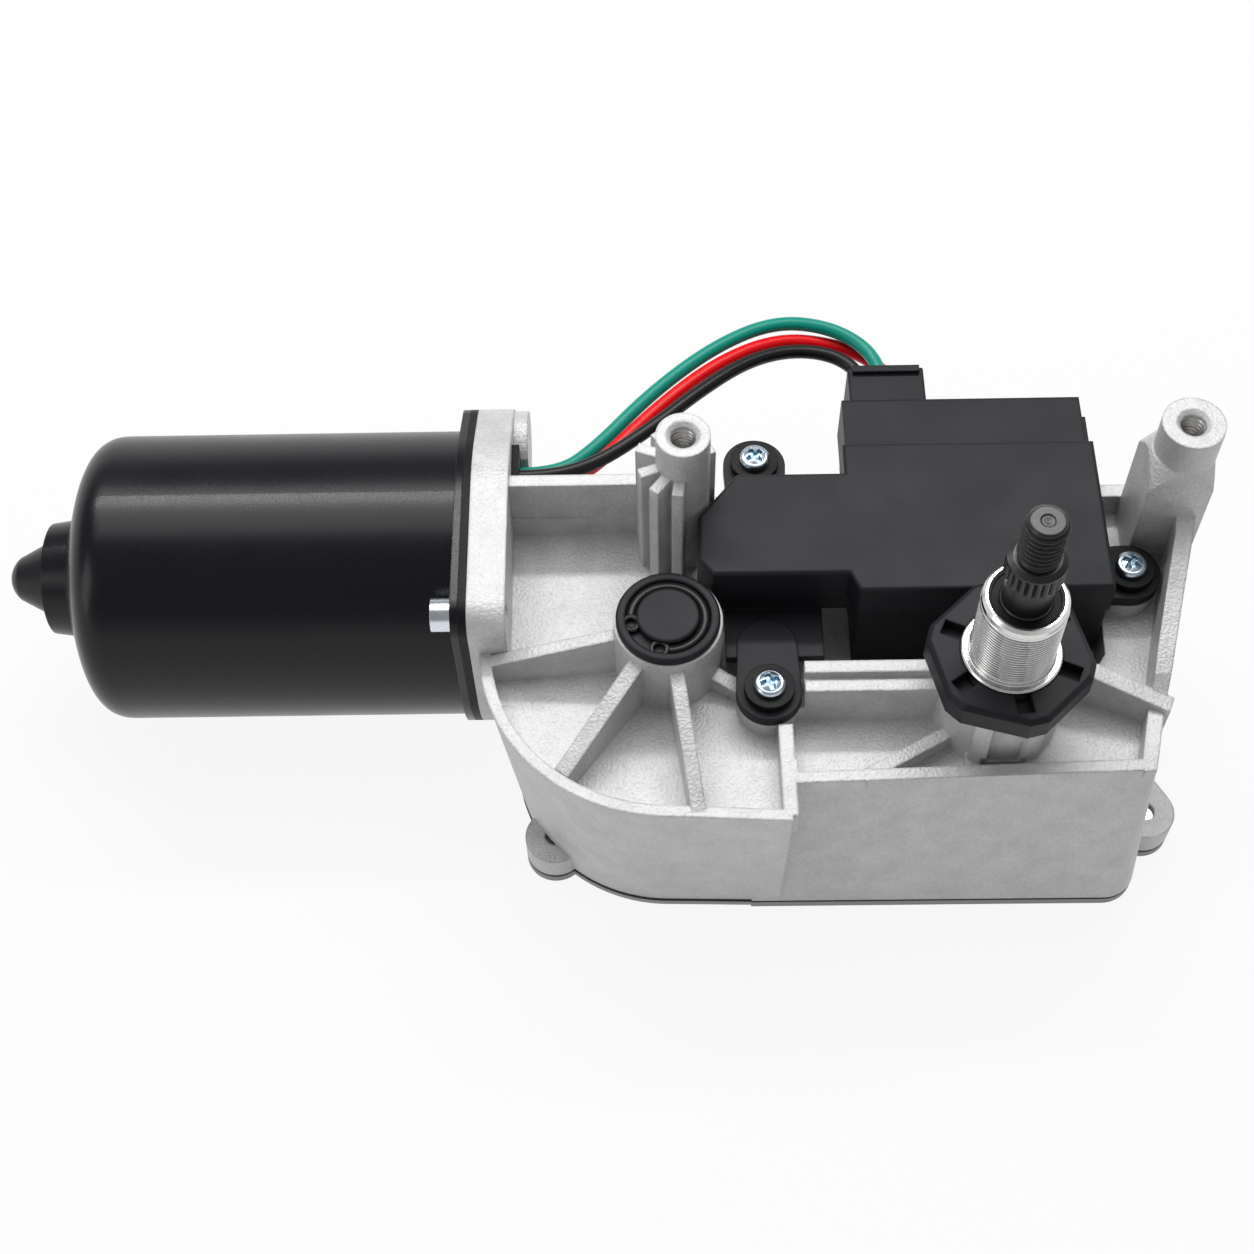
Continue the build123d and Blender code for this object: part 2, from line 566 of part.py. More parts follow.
def thrust_cap():
    """Pointed cap that closes the bearing seat at the end of the can."""
    x0 = CAN_BACK_X
    tip = x0 - NOSE_L
    dome_r = (NOSE_TIP_R**2 + NOSE_DOME**2) / (2 * NOSE_DOME)
    mid = 0.25 * NOSE_DOME
    mid_r = sqrt(2 * dome_r * mid - mid**2)
    with BuildSketch(Plane.XZ) as section:
        with BuildLine():
            Line((x0, 0), (x0, NOSE_R))
            Line((x0, NOSE_R), (tip + NOSE_DOME, NOSE_TIP_R))
            ThreePointArc((tip + NOSE_DOME, NOSE_TIP_R), (tip + mid, mid_r), (tip, 0))
            Line((tip, 0), (x0, 0))
        make_face()
    return Pos(0, MOTOR_Y, MOTOR_Z) * revolve(section.sketch, Axis.X)


def can_gasket():
    """Rubber gasket between the can lip and the casting, with its locating tab."""
    plate = flange_plate(CAN_X1, FLANGE_X)
    plate -= motor_rod(CAN_R - 1.5, CAN_X1 - 1, FLANGE_X + 1)
    for y, z in can_screw_places():
        plate -= rod_x(y, z, CAN_SCREW_R + FIT, CAN_X1 - 1, FLANGE_X + 1)
    return plate


def can_screws():
    """Two steel pins with round heads that hold the can to the casting."""
    x0 = CAN_X1 - LIP_T
    group = []
    for y, z in can_screw_places():
        head = rod_x(y, z, CAN_HEAD_R, x0 - CAN_HEAD_H, x0)
        group.append(one(head + rod_x(y, z, CAN_SCREW_R, x0 - 0.5, FLANGE_X + FLANGE_T - 0.5)))
    return Compound(group)


def magnets():
    """Four curved ferrite magnets on the wall of the can."""
    r_out = CAN_INNER_R - AIR
    ring = motor_rod(r_out, CORE_X0 - 2, CORE_X0 + CORE_L + 4)
    ring -= motor_rod(r_out - MAGNET_T, CORE_X0 - 3, CORE_X0 + CORE_L + 5)
    half = MAGNET_SLIT / 2
    slit = block(CORE_X0 - 3, CORE_X0 + CORE_L + 5, -CAN_R, CAN_R, -half, half)
    for angle in (45, 135):
        ring -= Pos(0, MOTOR_Y, MOTOR_Z) * Rot(angle, 0, 0) * slit
    return ring


def armature_shaft():
    """Armature shaft with the worm thread on its free end."""
    worm_l = WORM_TURNS * LEAD
    worm_x0 = GEAR_X - worm_l / 2
    shaft = motor_rod(ARM_SHAFT_R, CAN_BACK_X + AIR, worm_x0 - 3)
    shaft += motor_rod(WORM_ROOT_R, worm_x0 - 3, WORM_END_X - AIR)
    return shaft + worm_thread(worm_x0, worm_l)


def worm_thread(x0, length):
    """Right-hand trapezoid thread, with its crest centred on the gear at rest."""
    half = (LEAD / 2 - BACKLASH) / 2
    slope = tan(radians(PRESSURE))
    tip = half - ADDENDUM * slope
    foot = half + DEDENDUM * slope
    sink = 0.4
    inner = -DEDENDUM - sink
    path = Helix(pitch=LEAD, height=length, radius=WORM_PITCH_R)
    section = Plane(origin=(WORM_PITCH_R, 0, 0), x_dir=(1, 0, 0), z_dir=(0, 1, 0)) * make_face(Polyline(
        (inner, foot), (ADDENDUM, tip), (ADDENDUM, -tip), (inner, -foot), close=True))
    thread = sweep(section, path=path, is_frenet=True)
    place = Plane(origin=(x0, MOTOR_Y, MOTOR_Z), x_dir=(0, -1, 0), z_dir=(1, 0, 0))
    return place * thread


def armature_core():
    """Laminated core with open slots round its edge."""
    x0, x1 = CORE_X0 - 1, CORE_X0 + CORE_L + 1
    core = motor_rod(CORE_R, CORE_X0, CORE_X0 + CORE_L) - motor_rod(ARM_SHAFT_R + FIT, x0, x1)
    bottom, mouth = CORE_R - SLOT_DEPTH, CORE_R - TOOTH_TIP
    for k in range(CORE_SLOTS):
        cut = block(x0, x1, bottom, mouth, -SLOT_W / 2, SLOT_W / 2)
        cut += block(x0, x1, mouth - 1, CORE_R + 1, -SLOT_MOUTH / 2, SLOT_MOUTH / 2)
        core -= Pos(0, MOTOR_Y, MOTOR_Z) * Rot(k * 360 / CORE_SLOTS, 0, 0) * cut
    return core


def windings():
    """Copper winding heads at both ends of the core."""
    heads = []
    for x_face, step in ((CORE_X0, -1), (CORE_X0 + CORE_L, 1)):
        end = x_face + step * WINDING_L
        profile = [(x_face, WINDING_R0), (x_face, WINDING_R), (x_face + step * WINDING_L / 2, WINDING_R),
                   (end, WINDING_R - 4.5), (end, WINDING_R0)]
        heads.append(one(motor_turned(profile)))
    return Compound(heads)


def commutator():
    """Copper commutator with slots between its bars."""
    x0 = COMM_X1 - COMM_L
    body = motor_rod(COMM_R, x0, COMM_X1) + motor_rod(COMM_R + 1.4, x0, x0 + 2.5)
    body -= motor_rod(ARM_SHAFT_R + FIT, x0 - 1, COMM_X1 + 1)
    for k in range(CORE_SLOTS):
        cut = block(x0 - 1, COMM_X1 + 1, COMM_R - BAR_DEPTH, COMM_R + 3, -BAR_SLIT / 2, BAR_SLIT / 2)
        body -= Pos(0, MOTOR_Y, MOTOR_Z) * Rot((k + 0.5) * 360 / CORE_SLOTS, 0, 0) * cut
    return body


def rear_bearing():
    """Sintered bush in the end of the can."""
    end = CAN_END_X + REAR_BEARING_LIP
    bush = motor_rod(NOSE_SEAT_R - FIT, CAN_BACK_X, end)
    return bush - motor_rod(ARM_SHAFT_R + RUN, CAN_BACK_X - 1, end + 1)


def front_bearing():
    """Bearing in the casting just behind the commutator."""
    end = FLANGE_X + BEARING_W
    return motor_rod(BEARING_R, FLANGE_X, end) - motor_rod(ARM_SHAFT_R + RUN, FLANGE_X - 1, end + 1)


def worm_end_bush():
    """Bush that carries the free end of the worm."""
    x0 = WORM_END_X - END_BUSH_L
    return motor_rod(WORM_BORE_R - FIT, x0, WORM_END_X) - motor_rod(WORM_ROOT_R + RUN, x0 - 1, WORM_END_X + 1)


def brush_holder():
    """Moulded plate with two brush boxes, held between the gasket and the casting."""
    x0 = BRUSH_X0
    x1 = FLANGE_X - AIR
    half = BRUSH_W / 2 + AIR
    outer = half + BRUSH_BOX_WALL
    inner_r = COMM_R + 2.0
    plate = motor_rod(HOLDER_R, x1 - HOLDER_T, x1) - motor_rod(inner_r, x1 - HOLDER_T - 1.5, x1 + 1)
    for y0, y1 in ((-BRUSH_BOX_END, -inner_r), (inner_r, BRUSH_BOX_END)):
        plate += Pos(0, MOTOR_Y, MOTOR_Z) * block(x0 - 1.4, x1, y0, y1, -outer, outer)
    return plate - Pos(0, MOTOR_Y, MOTOR_Z) * block(x0 - AIR, x0 + BRUSH_W + AIR, -CAN_R, CAN_R, -half, half)


def brushes():
    """Two carbon brushes that press on the commutator."""
    near, far = COMM_R + AIR, BRUSH_BOX_END - SPRING_L
    group = []
    for y0, y1 in ((-far, -near), (near, far)):
        brush = block(BRUSH_X0, BRUSH_X0 + BRUSH_W, y0, y1, -BRUSH_W / 2, BRUSH_W / 2)
        group.append(one(Pos(0, MOTOR_Y, MOTOR_Z) * brush))
    return Compound(group)


def brush_springs():
    """Two coil springs behind the brushes, as plain sleeves of the coil's size."""
    r_out, r_in = SPRING_R
    coil = Rot(90, 0, 0) * (Cylinder(r_out, SPRING_L) - Cylinder(r_in, SPRING_L + 1))
    group = []
    for side in (-1, 1):
        y = MOTOR_Y + side * (BRUSH_BOX_END - SPRING_L / 2)
        group.append(one(Pos(BRUSH_X0 + BRUSH_W / 2, y, MOTOR_Z) * coil))
    return Compound(group)


# Gear and linkage


def gear_outline(turn):
    """Toothed outline of the worm gear, with a tooth space on the side of the worm."""
    pitch = 360 / GEAR_TEETH
    half = (LEAD / 2 - BACKLASH / 2) / 2
    slope = tan(radians(PRESSURE))
    tip_r = GEAR_PITCH_R + ADDENDUM
    root_r = GEAR_PITCH_R - DEDENDUM
    tip = degrees((half - ADDENDUM * slope) / tip_r)
    foot = degrees((half + DEDENDUM * slope) / root_r)
    points = []
    for k in range(GEAR_TEETH):
        mid = 90 + (k + 0.5) * pitch + turn
        for r, side in ((root_r, -foot), (tip_r, -tip), (tip_r, tip), (root_r, foot)):
            angle = radians(mid + side)
            points.append((r * cos(angle), r * sin(angle)))
    return make_face(Polyline(*points, close=True))


def worm_gear():
    """Moulded worm gear with slanted teeth, a thin web and a long hub."""
    twist = degrees(GEAR_FACE * tan(radians(LEAD_ANGLE)) / GEAR_PITCH_R)
    web_r = GEAR_PITCH_R - GEAR_RIM_T
    hub_r = GEAR_BORE_R + HUB_WALL
    rim = loft([Pos(0, 0, GEAR_Z0) * gear_outline(-twist / 2),
                Pos(0, 0, GEAR_Z1) * gear_outline(twist / 2)], ruled=True)
    rim -= rod_z(0, 0, web_r, GEAR_Z0 + 5.5, GEAR_Z1 + 1)
    rim -= rod_z(0, 0, web_r, GEAR_Z0 - 1, GEAR_Z0 + 1.5)
    hub = rod_z(0, 0, hub_r, GEAR_PLATE_Z0, GEAR_Z1)
    spoke = block(0, web_r + 0.5, -SPOKE_T / 2, SPOKE_T / 2, GEAR_Z0 + 1.0, GEAR_Z1 - 0.5)
    for k in range(SPOKES):
        hub += Rot(0, 0, (k + 0.5) * 360 / SPOKES) * spoke
    pin_boss = rod_z(CRANK_R, 0, PIN_BOSS_R, GEAR_PLATE_Z0, GEAR_Z0 + 3)
    plate = hull_z([(0, 0, hub_r), (CRANK_R, 0, PIN_BOSS_R)], GEAR_PLATE_Z0, GEAR_PLATE_Z0 + GEAR_PLATE_T)
    gear = rim + hub + pin_boss + plate
    gear -= rod_z(0, 0, GEAR_BORE_R + RUN, GEAR_PLATE_Z0 - 1, GEAR_Z1 + 1)
    gear -= rod_z(CRANK_R, 0, PIN_R + FIT, GEAR_PLATE_Z0 - 1, GEAR_Z0 + 1)
    return Pos(GEAR_X, GEAR_Y) * gear


def gear_shaft():
    """Fixed steel axle of the worm gear, held in the boss, with a groove for its clip."""
    clip_top = GEAR_PLATE_Z0 - AIR
    axle = rod_z(GEAR_X, GEAR_Y, GEAR_BORE_R, GEAR_PLATE_Z0 - 2.0, AXLE_TOP)
    axle += rod_z(GEAR_X, GEAR_Y, AXLE_COLLAR_R, GEAR_Z1 + AIR, AXLE_TOP)
    return axle - ring_z(GEAR_X, GEAR_Y, GEAR_BORE_R + 1, GEAR_BORE_R - CLIP_GROOVE - FIT,
                         clip_top - CLIP_T - FIT, clip_top + FIT)


def gear_clip():
    """Flat clip under the gear that keeps it on its axle."""
    clip_top = GEAR_PLATE_Z0 - AIR
    return ring_z(GEAR_X, GEAR_Y, GEAR_BORE_R + 3.0, GEAR_BORE_R - CLIP_GROOVE, clip_top - CLIP_T, clip_top)


def crank_pin():
    """Steel pin under the gear that drives the connecting rod."""
    return rod_z(GEAR_X + CRANK_R, GEAR_Y, PIN_R, ROD_Z0 - 1.5, GEAR_Z0 + 1)


def rod_ends():
    """Plan places of the crank pin and of the rocker pin at rest."""
    return (GEAR_X + CRANK_R, GEAR_Y), (0, ROCKER_R)


def connecting_rod():
    """Flat steel rod with an eye at each end and a long relief window."""
    (x0, y0), (x1, y1) = rod_ends()
    rod = rod_z(x0, y0, ROD_EYE_R, ROD_Z0, ROD_Z1) + rod_z(x1, y1, ROD_EYE_R, ROD_Z0, ROD_Z1)
    rod += wedge((x0, y0), (x1, y1), ROD_Z1, ROD_Z1, ROD_W, ROD_Z0)
    turn = degrees(atan2(y1 - y0, x1 - x0))
    slot = Pos((x0 + x1) / 2, (y0 + y1) / 2, ROD_Z0) * Rot(0, 0, turn) * SlotOverall(*ROD_SLOT)
    rod -= extrude(slot, ROD_T)
    rod -= rod_z(x0, y0, PIN_R + RUN, ROD_Z0 - 1, ROD_Z1 + 1)
    return rod - rod_z(x1, y1, PIN_R + RUN, ROD_Z0 - 1, ROD_Z1 + 1)


def crank_clip():
    """Clip on the lower end of the crank pin."""
    return ring_z(GEAR_X + CRANK_R, GEAR_Y, PIN_R + 2.0, PIN_R + FIT, ROD_Z0 - 1.2, ROD_Z0 - AIR)


def rocker_arm():
    """Forged arm on the lower end of the output shaft."""
    arm = hull_z([(0, 0, ARM_HUB_R), (0, ROCKER_R, ARM_EYE_R)], ARM_Z0, ARM_Z1)
    arm += rod_z(0, 0, ARM_HUB_R, ARM_Z1 - 1, LINK_ROOF - AIR - WASHER_T)
    arm -= rod_z(0, 0, SHAFT_R + FIT, ARM_Z0 - 1, LINK_ROOF)
    return arm - rod_z(0, ROCKER_R, PIN_R + FIT, ARM_Z0 - 1, ARM_Z1 + 1)


def rocker_pin():
    """Steel pin in the arm, which ends just above the rod's open eye."""
    return rod_z(0, ROCKER_R, PIN_R, ROD_Z1 + AIR, ARM_Z1 + 1.0)


def thrust_washer():
    """Washer between the arm and the tower."""
    return ring_z(0, 0, ARM_HUB_R, SHAFT_R + FIT, LINK_ROOF - AIR - WASHER_T, LINK_ROOF - AIR)


def output_shaft():
    """Output shaft with a tapered knurl seat and a threaded end."""
    foot = ARM_Z0 - 1.0
    with BuildSketch(Plane.XZ) as section:
        with BuildLine():
            Polyline((0, foot), (SHAFT_R, foot), (SHAFT_R, KNURL_Z0), (KNURL_R, KNURL_Z0 + 0.4),
                     (THREAD_R + 0.5, THREAD_Z0 - 0.6), (THREAD_R - 0.5, THREAD_Z0),
                     (THREAD_R, THREAD_Z0 + 0.8), (THREAD_R, SHAFT_TOP - SHAFT_CHAMFER), (THREAD_R - SHAFT_CHAMFER, SHAFT_TOP),
                     (0, SHAFT_TOP), (0, foot))
        make_face()
    return revolve(section.sketch, Axis.Z)


def shaft_bush(z0, z1):
    """Bush of the output shaft."""
    return ring_z(0, 0, BUSH_R, SHAFT_R + RUN, z0, z1)


def lower_bush():
    """Bush in the tower, under the sleeve."""
    return shaft_bush(LINK_ROOF, SLEEVE_Z0 - 2)


def upper_bush():
    """Bush in the sleeve, under the seal."""
    top = SLEEVE_TOP - SEAL[1] - 0.2
    return shaft_bush(top - UPPER_BUSH_L, top)


def shaft_seal():
    """Rubber ring that closes the top of the sleeve."""
    return shaft_bush(SLEEVE_TOP - SEAL[1], SLEEVE_TOP - SEAL[0])


def mounting_sleeve():
    """Threaded sleeve round the output shaft, with the ring that holds the collar."""
    sleeve = rod_z(0, 0, SLEEVE_R, SLEEVE_Z0, SLEEVE_TOP)
    sleeve += rod_z(0, 0, SLEEVE_RING_R, TOWER_TOP, SLEEVE_RING_TOP)
    sleeve -= rod_z(0, 0, BUSH_R + FIT, SLEEVE_Z0 - 1, SLEEVE_TOP + 1)
    rims = sleeve.edges().filter_by(GeomType.CIRCLE).group_by(Axis.Z)[-1]
    return chamfer(rims, 0.5)


def hex_collar():
    """Plastic collar with cut corners and snap notches round its bore."""
    hexagon = Rot(0, 0, COLLAR_TURN - 30) * RegularPolygon(COLLAR_AF / 2, 6, major_radius=False)
    cut = Rot(0, 0, COLLAR_TURN) * RegularPolygon(COLLAR_CUT_R, 6, major_radius=False)
    plan = hexagon & cut
    body = extrude(Pos(0, 0, TOWER_TOP) * plan, COLLAR_TOP - TOWER_TOP)
    body = chamfer(body.faces().sort_by(Axis.Z)[-1].edges(), COLLAR_EDGE)
    body -= rod_z(0, 0, SLEEVE_RING_R + FIT * 3, TOWER_TOP - 1, COLLAR_TOP + 1)
    notch = block(SLEEVE_RING_R - 1, NOTCH_REACH, -NOTCH_W / 2, NOTCH_W / 2, COLLAR_TOP - NOTCH_DEPTH,
                  COLLAR_TOP + 1)
    for k in range(6):
        body -= Rot(0, 0, COLLAR_TURN + NOTCH_TURN + 60 * k) * notch
    return body


# Boss cap and ring


def boss_cap():
    """Black cap in the gear shaft boss with a raised middle."""
    top = BOSS_TOP + CAP_T
    cap = rod_z(GEAR_X, GEAR_Y, CAP_R, BOSS_TOP, top)
    cap += rod_z(GEAR_X, GEAR_Y, CAP_SPIGOT_R - FIT, BOSS_TOP - CAP_SPIGOT_L, BOSS_TOP)
    cap -= ring_z(GEAR_X, GEAR_Y, CAP_GROOVE_R, CAP_DISC_R, CAP_GROOVE_Z, top + 1)
    return cap + rod_z(GEAR_X, GEAR_Y, CAP_DISC_R, BOSS_TOP, top + CAP_DISC_RISE)


def retaining_ring():
    """Open spring ring with two eyelets, lying in the groove of the cap."""
    z0, z1 = CAP_GROOVE_Z, CAP_GROOVE_Z + RING_T
    r_out, r_in = RING_R
    ring = ring_z(0, 0, r_out, r_in, z0, z1)
    ring -= Rot(0, 0, RING_GAP_ANGLE) * block(0, CAP_R, -RING_GAP / 2, RING_GAP / 2, z0 - 1, z1 + 1)
    for side in (-1, 1):
        eye = Rot(0, 0, RING_GAP_ANGLE + side * RING_EYE_TURN) * Pos(RING_EYE_DIST, 0)
        ring += eye * rod_z(0, 0, RING_EYE_R, z0, z1)
        ring -= eye * rod_z(0, 0, RING_HOLE_R, z0 - 1, z1 + 1)
    return Pos(GEAR_X, GEAR_Y) * ring


# Bottom cover


def base_outline_solid(z0, z1):
    """Plate with the outline of the casting's lower edge and its lugs."""
    slab = housing_body() & block(FLANGE_X - 20, 60, -60, 90, CASE_Z0, CASE_Z0 + (z1 - z0))
    return Pos(0, 0, z0 - CASE_Z0) * slab


def cover_gasket():
    """Thin gasket under the casting's lower edge."""
    sheet = base_outline_solid(COVER_T, CASE_Z0)
    sheet -= rod_z(GEAR_X, GEAR_Y, CHAMBER_R, 0, CASE_Z0 + 1)
    sheet -= prism(link_plan(1.6), 0, LUG_TOP)
    for x, y in LUGS:
        sheet -= rod_z(x, y, COVER_SCREW_R + FIT, 0, CASE_Z0 + 1)
    return sheet


def bottom_cover():
    """Flat bottom cover with a screw hole in each lug."""
    plate = base_outline_solid(0, COVER_T)
    for x, y in LUGS:
        plate -= rod_z(x, y, COVER_SCREW_R + FIT, -1, COVER_T + 1)
    return plate


def cover_screws():
    """Four screws that run up through the cover into the lugs."""
    group = []
    for x, y in LUGS:
        shank = rod_z(x, y, COVER_SCREW_R, 0.6, LUG_TOP - 1.0)
        group.append(one(shank))
    return Compound(group)


# Controller box


def box_plan():
    """Plan outline of the lid: main body, left wing and cut back corner."""
    return [(BOX_LEFT, BOX_FRONT), (BOX_RIGHT, BOX_FRONT), (BOX_RIGHT, BOX_BACK), (BOX_LEFT - 1.4, BOX_BACK),
            (BOX_LEFT - 1.4, WING_BACK), (WING_CORNER_X, WING_BACK), (WING_LEFT + 0.4, WING_BACK - 10.1),
            (WING_LEFT, WING_FRONT + 3.7), (WING_LEFT + 3.0, WING_FRONT), (BOX_LEFT - 1.8, WING_FRONT)]


def controller_lid():
    """Lid of the controller box with a lower block at the rear for the plug."""
    lid = prism(box_plan(), BOX_SEAM, BOX_TOP)
    tops = lid.faces().sort_by(Axis.Z)[-1].edges()
    lid = fillet(tops, BOX_EDGE)
    inner = [(x * 0.965, (y - 33) * 0.94 + 33) for x, y in box_plan()]
    lid -= prism(inner, BOX_SEAM - 1, BOX_TOP - BOX_WALL)
    x0, x1 = BOX_LEFT - 0.4, BOX_RIGHT - 0.6
    rear = block(x0, x1, BOX_BACK, REAR_BACK, REAR_BOTTOM, REAR_TOP)
    rear = fillet(rear.edges().filter_by(Axis.X).group_by(Axis.Z)[-1], BOX_EDGE)
    inset = BOX_WALL + 0.4
    rear -= block(x0 + inset, x1 - inset, BOX_BACK - 1, REAR_BACK - BOX_WALL, REAR_BOTTOM - 1,
                  REAR_TOP - BOX_WALL)
    step = block(x1, x1 + 1.2, BOX_BACK, REAR_BACK - 4, REAR_BOTTOM + 2, REAR_TOP - 2)
    return lid + rear + step


def controller_base():
    """Base of the controller box with its wing plate and three screw ears."""
    x0, x1 = BOX_LEFT + AIR, BOX_RIGHT - AIR
    y0, y1 = BOX_FRONT + AIR, BOX_BACK - AIR
    main = block(x0, x1, y0, y1, BOX_BOTTOM, BOX_SEAM)
    main -= block(x0 + BOX_WALL, x1 - BOX_WALL, y0 + BOX_WALL, y1 - BOX_WALL,
                  BOX_BOTTOM + BOX_WALL, BOX_SEAM + 1)
    wing = prism([(BOX_LEFT + 1, WING_FRONT + 0.3), (BOX_LEFT + 1, WING_BACK - 0.3),
                  (WING_CORNER_X - 0.2, WING_BACK - 0.3), (WING_LEFT + 0.8, WING_BACK - 10.3),
                  (WING_LEFT + 0.4, WING_FRONT + 3.9), (WING_LEFT + 3.2, WING_FRONT + 0.3)],
                 WING_Z0, BOX_SEAM)
    left, right = PLATE_X
    plate = block(left, right, PLATE_FRONT, WING_FRONT + 1, EAR_SEAT, EAR_TOP - 0.6)
    base = main + wing + plate
    for (x, y), root in zip(BOX_EARS, EAR_ROOTS):
        base += hull_z([(x, y, BOX_EAR_R), (*root, BOX_EAR_R - 0.6)], EAR_SEAT, EAR_TOP)
        base -= rod_z(x, y, BOX_SCREW_R + COLLAR_WALL, EAR_SEAT - 1, EAR_TOP + 1)
    return base


def circuit_board():
    """Circuit board inside the controller box."""
    inset = BOX_WALL + 1
    z0 = BOX_BOTTOM + BOX_WALL
    return block(BOX_LEFT + inset, BOX_RIGHT - inset, BOX_FRONT + inset, BOX_BACK - inset, z0, z0 + 1.6)


def connector_plug():
    """Plug at the rear of the box that takes the three wires."""
    x0, x1 = PLUG_X
    plug = block(x0, x1, REAR_BACK, PLUG_BACK, PLUG_Z0, PLUG_TOP)
    plug = fillet(plug.edges().filter_by(Axis.Y), 0.6)
    return plug + block(x0 + 1, x1 - 1, PLUG_BACK - 1.6, PLUG_BACK, PLUG_TOP - 1.6, PLUG_TOP + 1)


def box_grommets():
    """Stepped rubber collars on the three ears of the box."""
    group = []
    for x, y in BOX_EARS:
        collar = ring_z(x, y, COLLAR_R, BOX_SCREW_R + FIT, EAR_TOP, EAR_TOP + COLLAR_H)
        collar += ring_z(x, y, BOX_SCREW_R + COLLAR_WALL - FIT, BOX_SCREW_R + FIT, EAR_SEAT, EAR_TOP + 1)
        group.append(one(collar))
    return Compound(group)


def box_screws():
    """Pan-head screws of the controller box with cross recesses."""
    z0 = EAR_TOP + COLLAR_H
    group = []
    for x, y in BOX_EARS:
        head = rod_z(x, y, SCREW_HEAD_R, z0, z0 + SCREW_HEAD_H)
        head = fillet(head.edges().group_by(Axis.Z)[-1], 1.2)
        for turn in (0, 90):
            head -= Pos(x, y) * Rot(0, 0, 20 + turn) * block(-1.7, 1.7, -0.4, 0.4, z0 + 1.0, z0 + 3)
        group.append(one(head + rod_z(x, y, BOX_SCREW_R, WELL_Z + 6, z0)))
    return Compound(group)


# Wires


def wire_grommet():
    """Rubber grommet through which the three wires leave the flange."""
    (y0, y1), (z0, z1) = GROMMET_Y, GROMMET_Z
    return block(FLANGE_X, WIRE_X0, y0 + FIT, y1 - FIT, z0 + FIT, z1 - FIT)


def rounded_route(points):
    """Corner radii of a wire: 0.45 of the shorter run over the tangent of half the turn."""
    radii = []
    for before, here, after in zip(points, points[1:], points[2:]):
        a = Vector(*here) - Vector(*before)
        b = Vector(*after) - Vector(*here)
        turn = radians(a.get_angle(b))
        radii.append(0.45 * min(a.length, b.length) / tan(turn / 2))
    return radii


def from_flange(*steps):
    """Points of a wire counted from the face of its grommet."""
    return [(WIRE_X0 + x, WIRE_Y + y, WIRE_Z + z) for x, y, z in steps]


def from_plug(*steps):
    """Points of a wire counted from the lower left corner of the plug's back."""
    x0, y0, z0 = PLUG_END
    return [(x0 + x, y0 + y, z0 + z) for x, y, z in steps]


def wire(name, points):
    """Round wire along straight runs joined by tangent arcs."""
    radii = rounded_route(points)
    path = FilletPolyline(*points, radius=radii)
    print(name, "radii", [round(r, 1) for r in radii], "length", round(path.length, 1))
    start = Plane(origin=path @ 0, z_dir=path % 0)
    return sweep(start * Circle(WIRE_R), path=path)


def wire_green():
    """Green wire, the outer one."""
    return wire("green", from_flange((0, 3.4, 0), (7.5, 3.4, 0))
                + [(-78.5, 61.0, 51.2), (-66.0, 75.6, 52.2), (-52.0, 88.0, 52.4), (-39.0, 95.4, 51.2),
                   (-27.4, 95.4, 49.4), (-19.2, 90.4, 48.4)]
                + from_plug((9.0, 7.9, 7.0), (9.0, 0, 7.0)))


def wire_red():
    """Red wire, the lower one."""
    return wire("red", from_flange((0, 0, 0), (7.5, 0, 0))
                + [(-77.5, 57.2, 51.4), (-65.0, 71.2, 52.4), (-52.0, 83.8, 51.6), (-38.5, 92.2, 49.2),
                   (-26.0, 93.2, 46.0), (-17.0, 89.6, 44.4)]
                + from_plug((12.6, 7.7, 2.2), (12.6, 0, 2.2)))


def wire_black():
    """Black wire, the upper one."""
    return wire("black", from_flange((0, -0.6, 4.6), (7.0, -0.6, 4.6))
                + [(-77.0, 54.8, 55.8), (-66.0, 63.4, 56.0), (-55.5, 74.0, 55.0), (-45.0, 83.4, 53.0),
                   (-35.0, 88.0, 50.6), (-25.8, 87.6, 48.9)]
                + from_plug((4.8, 7.5, 7.0), (4.8, 0, 7.0)))


NODES = {
    "motor_can": motor_can,
    "thrust_cap": thrust_cap,
    "can_gasket": can_gasket,
    "can_screws": can_screws,
    "magnets": magnets,
    "armature_shaft": armature_shaft,
    "armature_core": armature_core,
    "windings": windings,
    "commutator": commutator,
    "rear_bearing": rear_bearing,
    "front_bearing": front_bearing,
    "worm_end_bush": worm_end_bush,
    "brush_holder": brush_holder,
    "brushes": brushes,
    "brush_springs": brush_springs,
    "gear_housing": gear_housing,
    "cover_gasket": cover_gasket,
    "bottom_cover": bottom_cover,
    "cover_screws": cover_screws,
    "worm_gear": worm_gear,
    "gear_shaft": gear_shaft,
    "gear_clip": gear_clip,
    "crank_pin": crank_pin,
    "connecting_rod": connecting_rod,
    "crank_clip": crank_clip,
    "rocker_arm": rocker_arm,
    "rocker_pin": rocker_pin,
    "thrust_washer": thrust_washer,
    "output_shaft": output_shaft,
    "lower_bush": lower_bush,
    "upper_bush": upper_bush,
    "shaft_seal": shaft_seal,
    "mounting_sleeve": mounting_sleeve,
    "hex_collar": hex_collar,
    "boss_cap": boss_cap,
    "retaining_ring": retaining_ring,
    "controller_base": controller_base,
    "controller_lid": controller_lid,
    "circuit_board": circuit_board,
    "connector_plug": connector_plug,
    "box_grommets": box_grommets,
    "box_screws": box_screws,
    "wire_grommet": wire_grommet,
    "wire_green": wire_green,
    "wire_red": wire_red,
    "wire_black": wire_black,
}

os.makedirs("parts", exist_ok=True)
for node, make in NODES.items():
    export_step(one(make()), f"parts/{node}.step")
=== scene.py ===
import json
import math

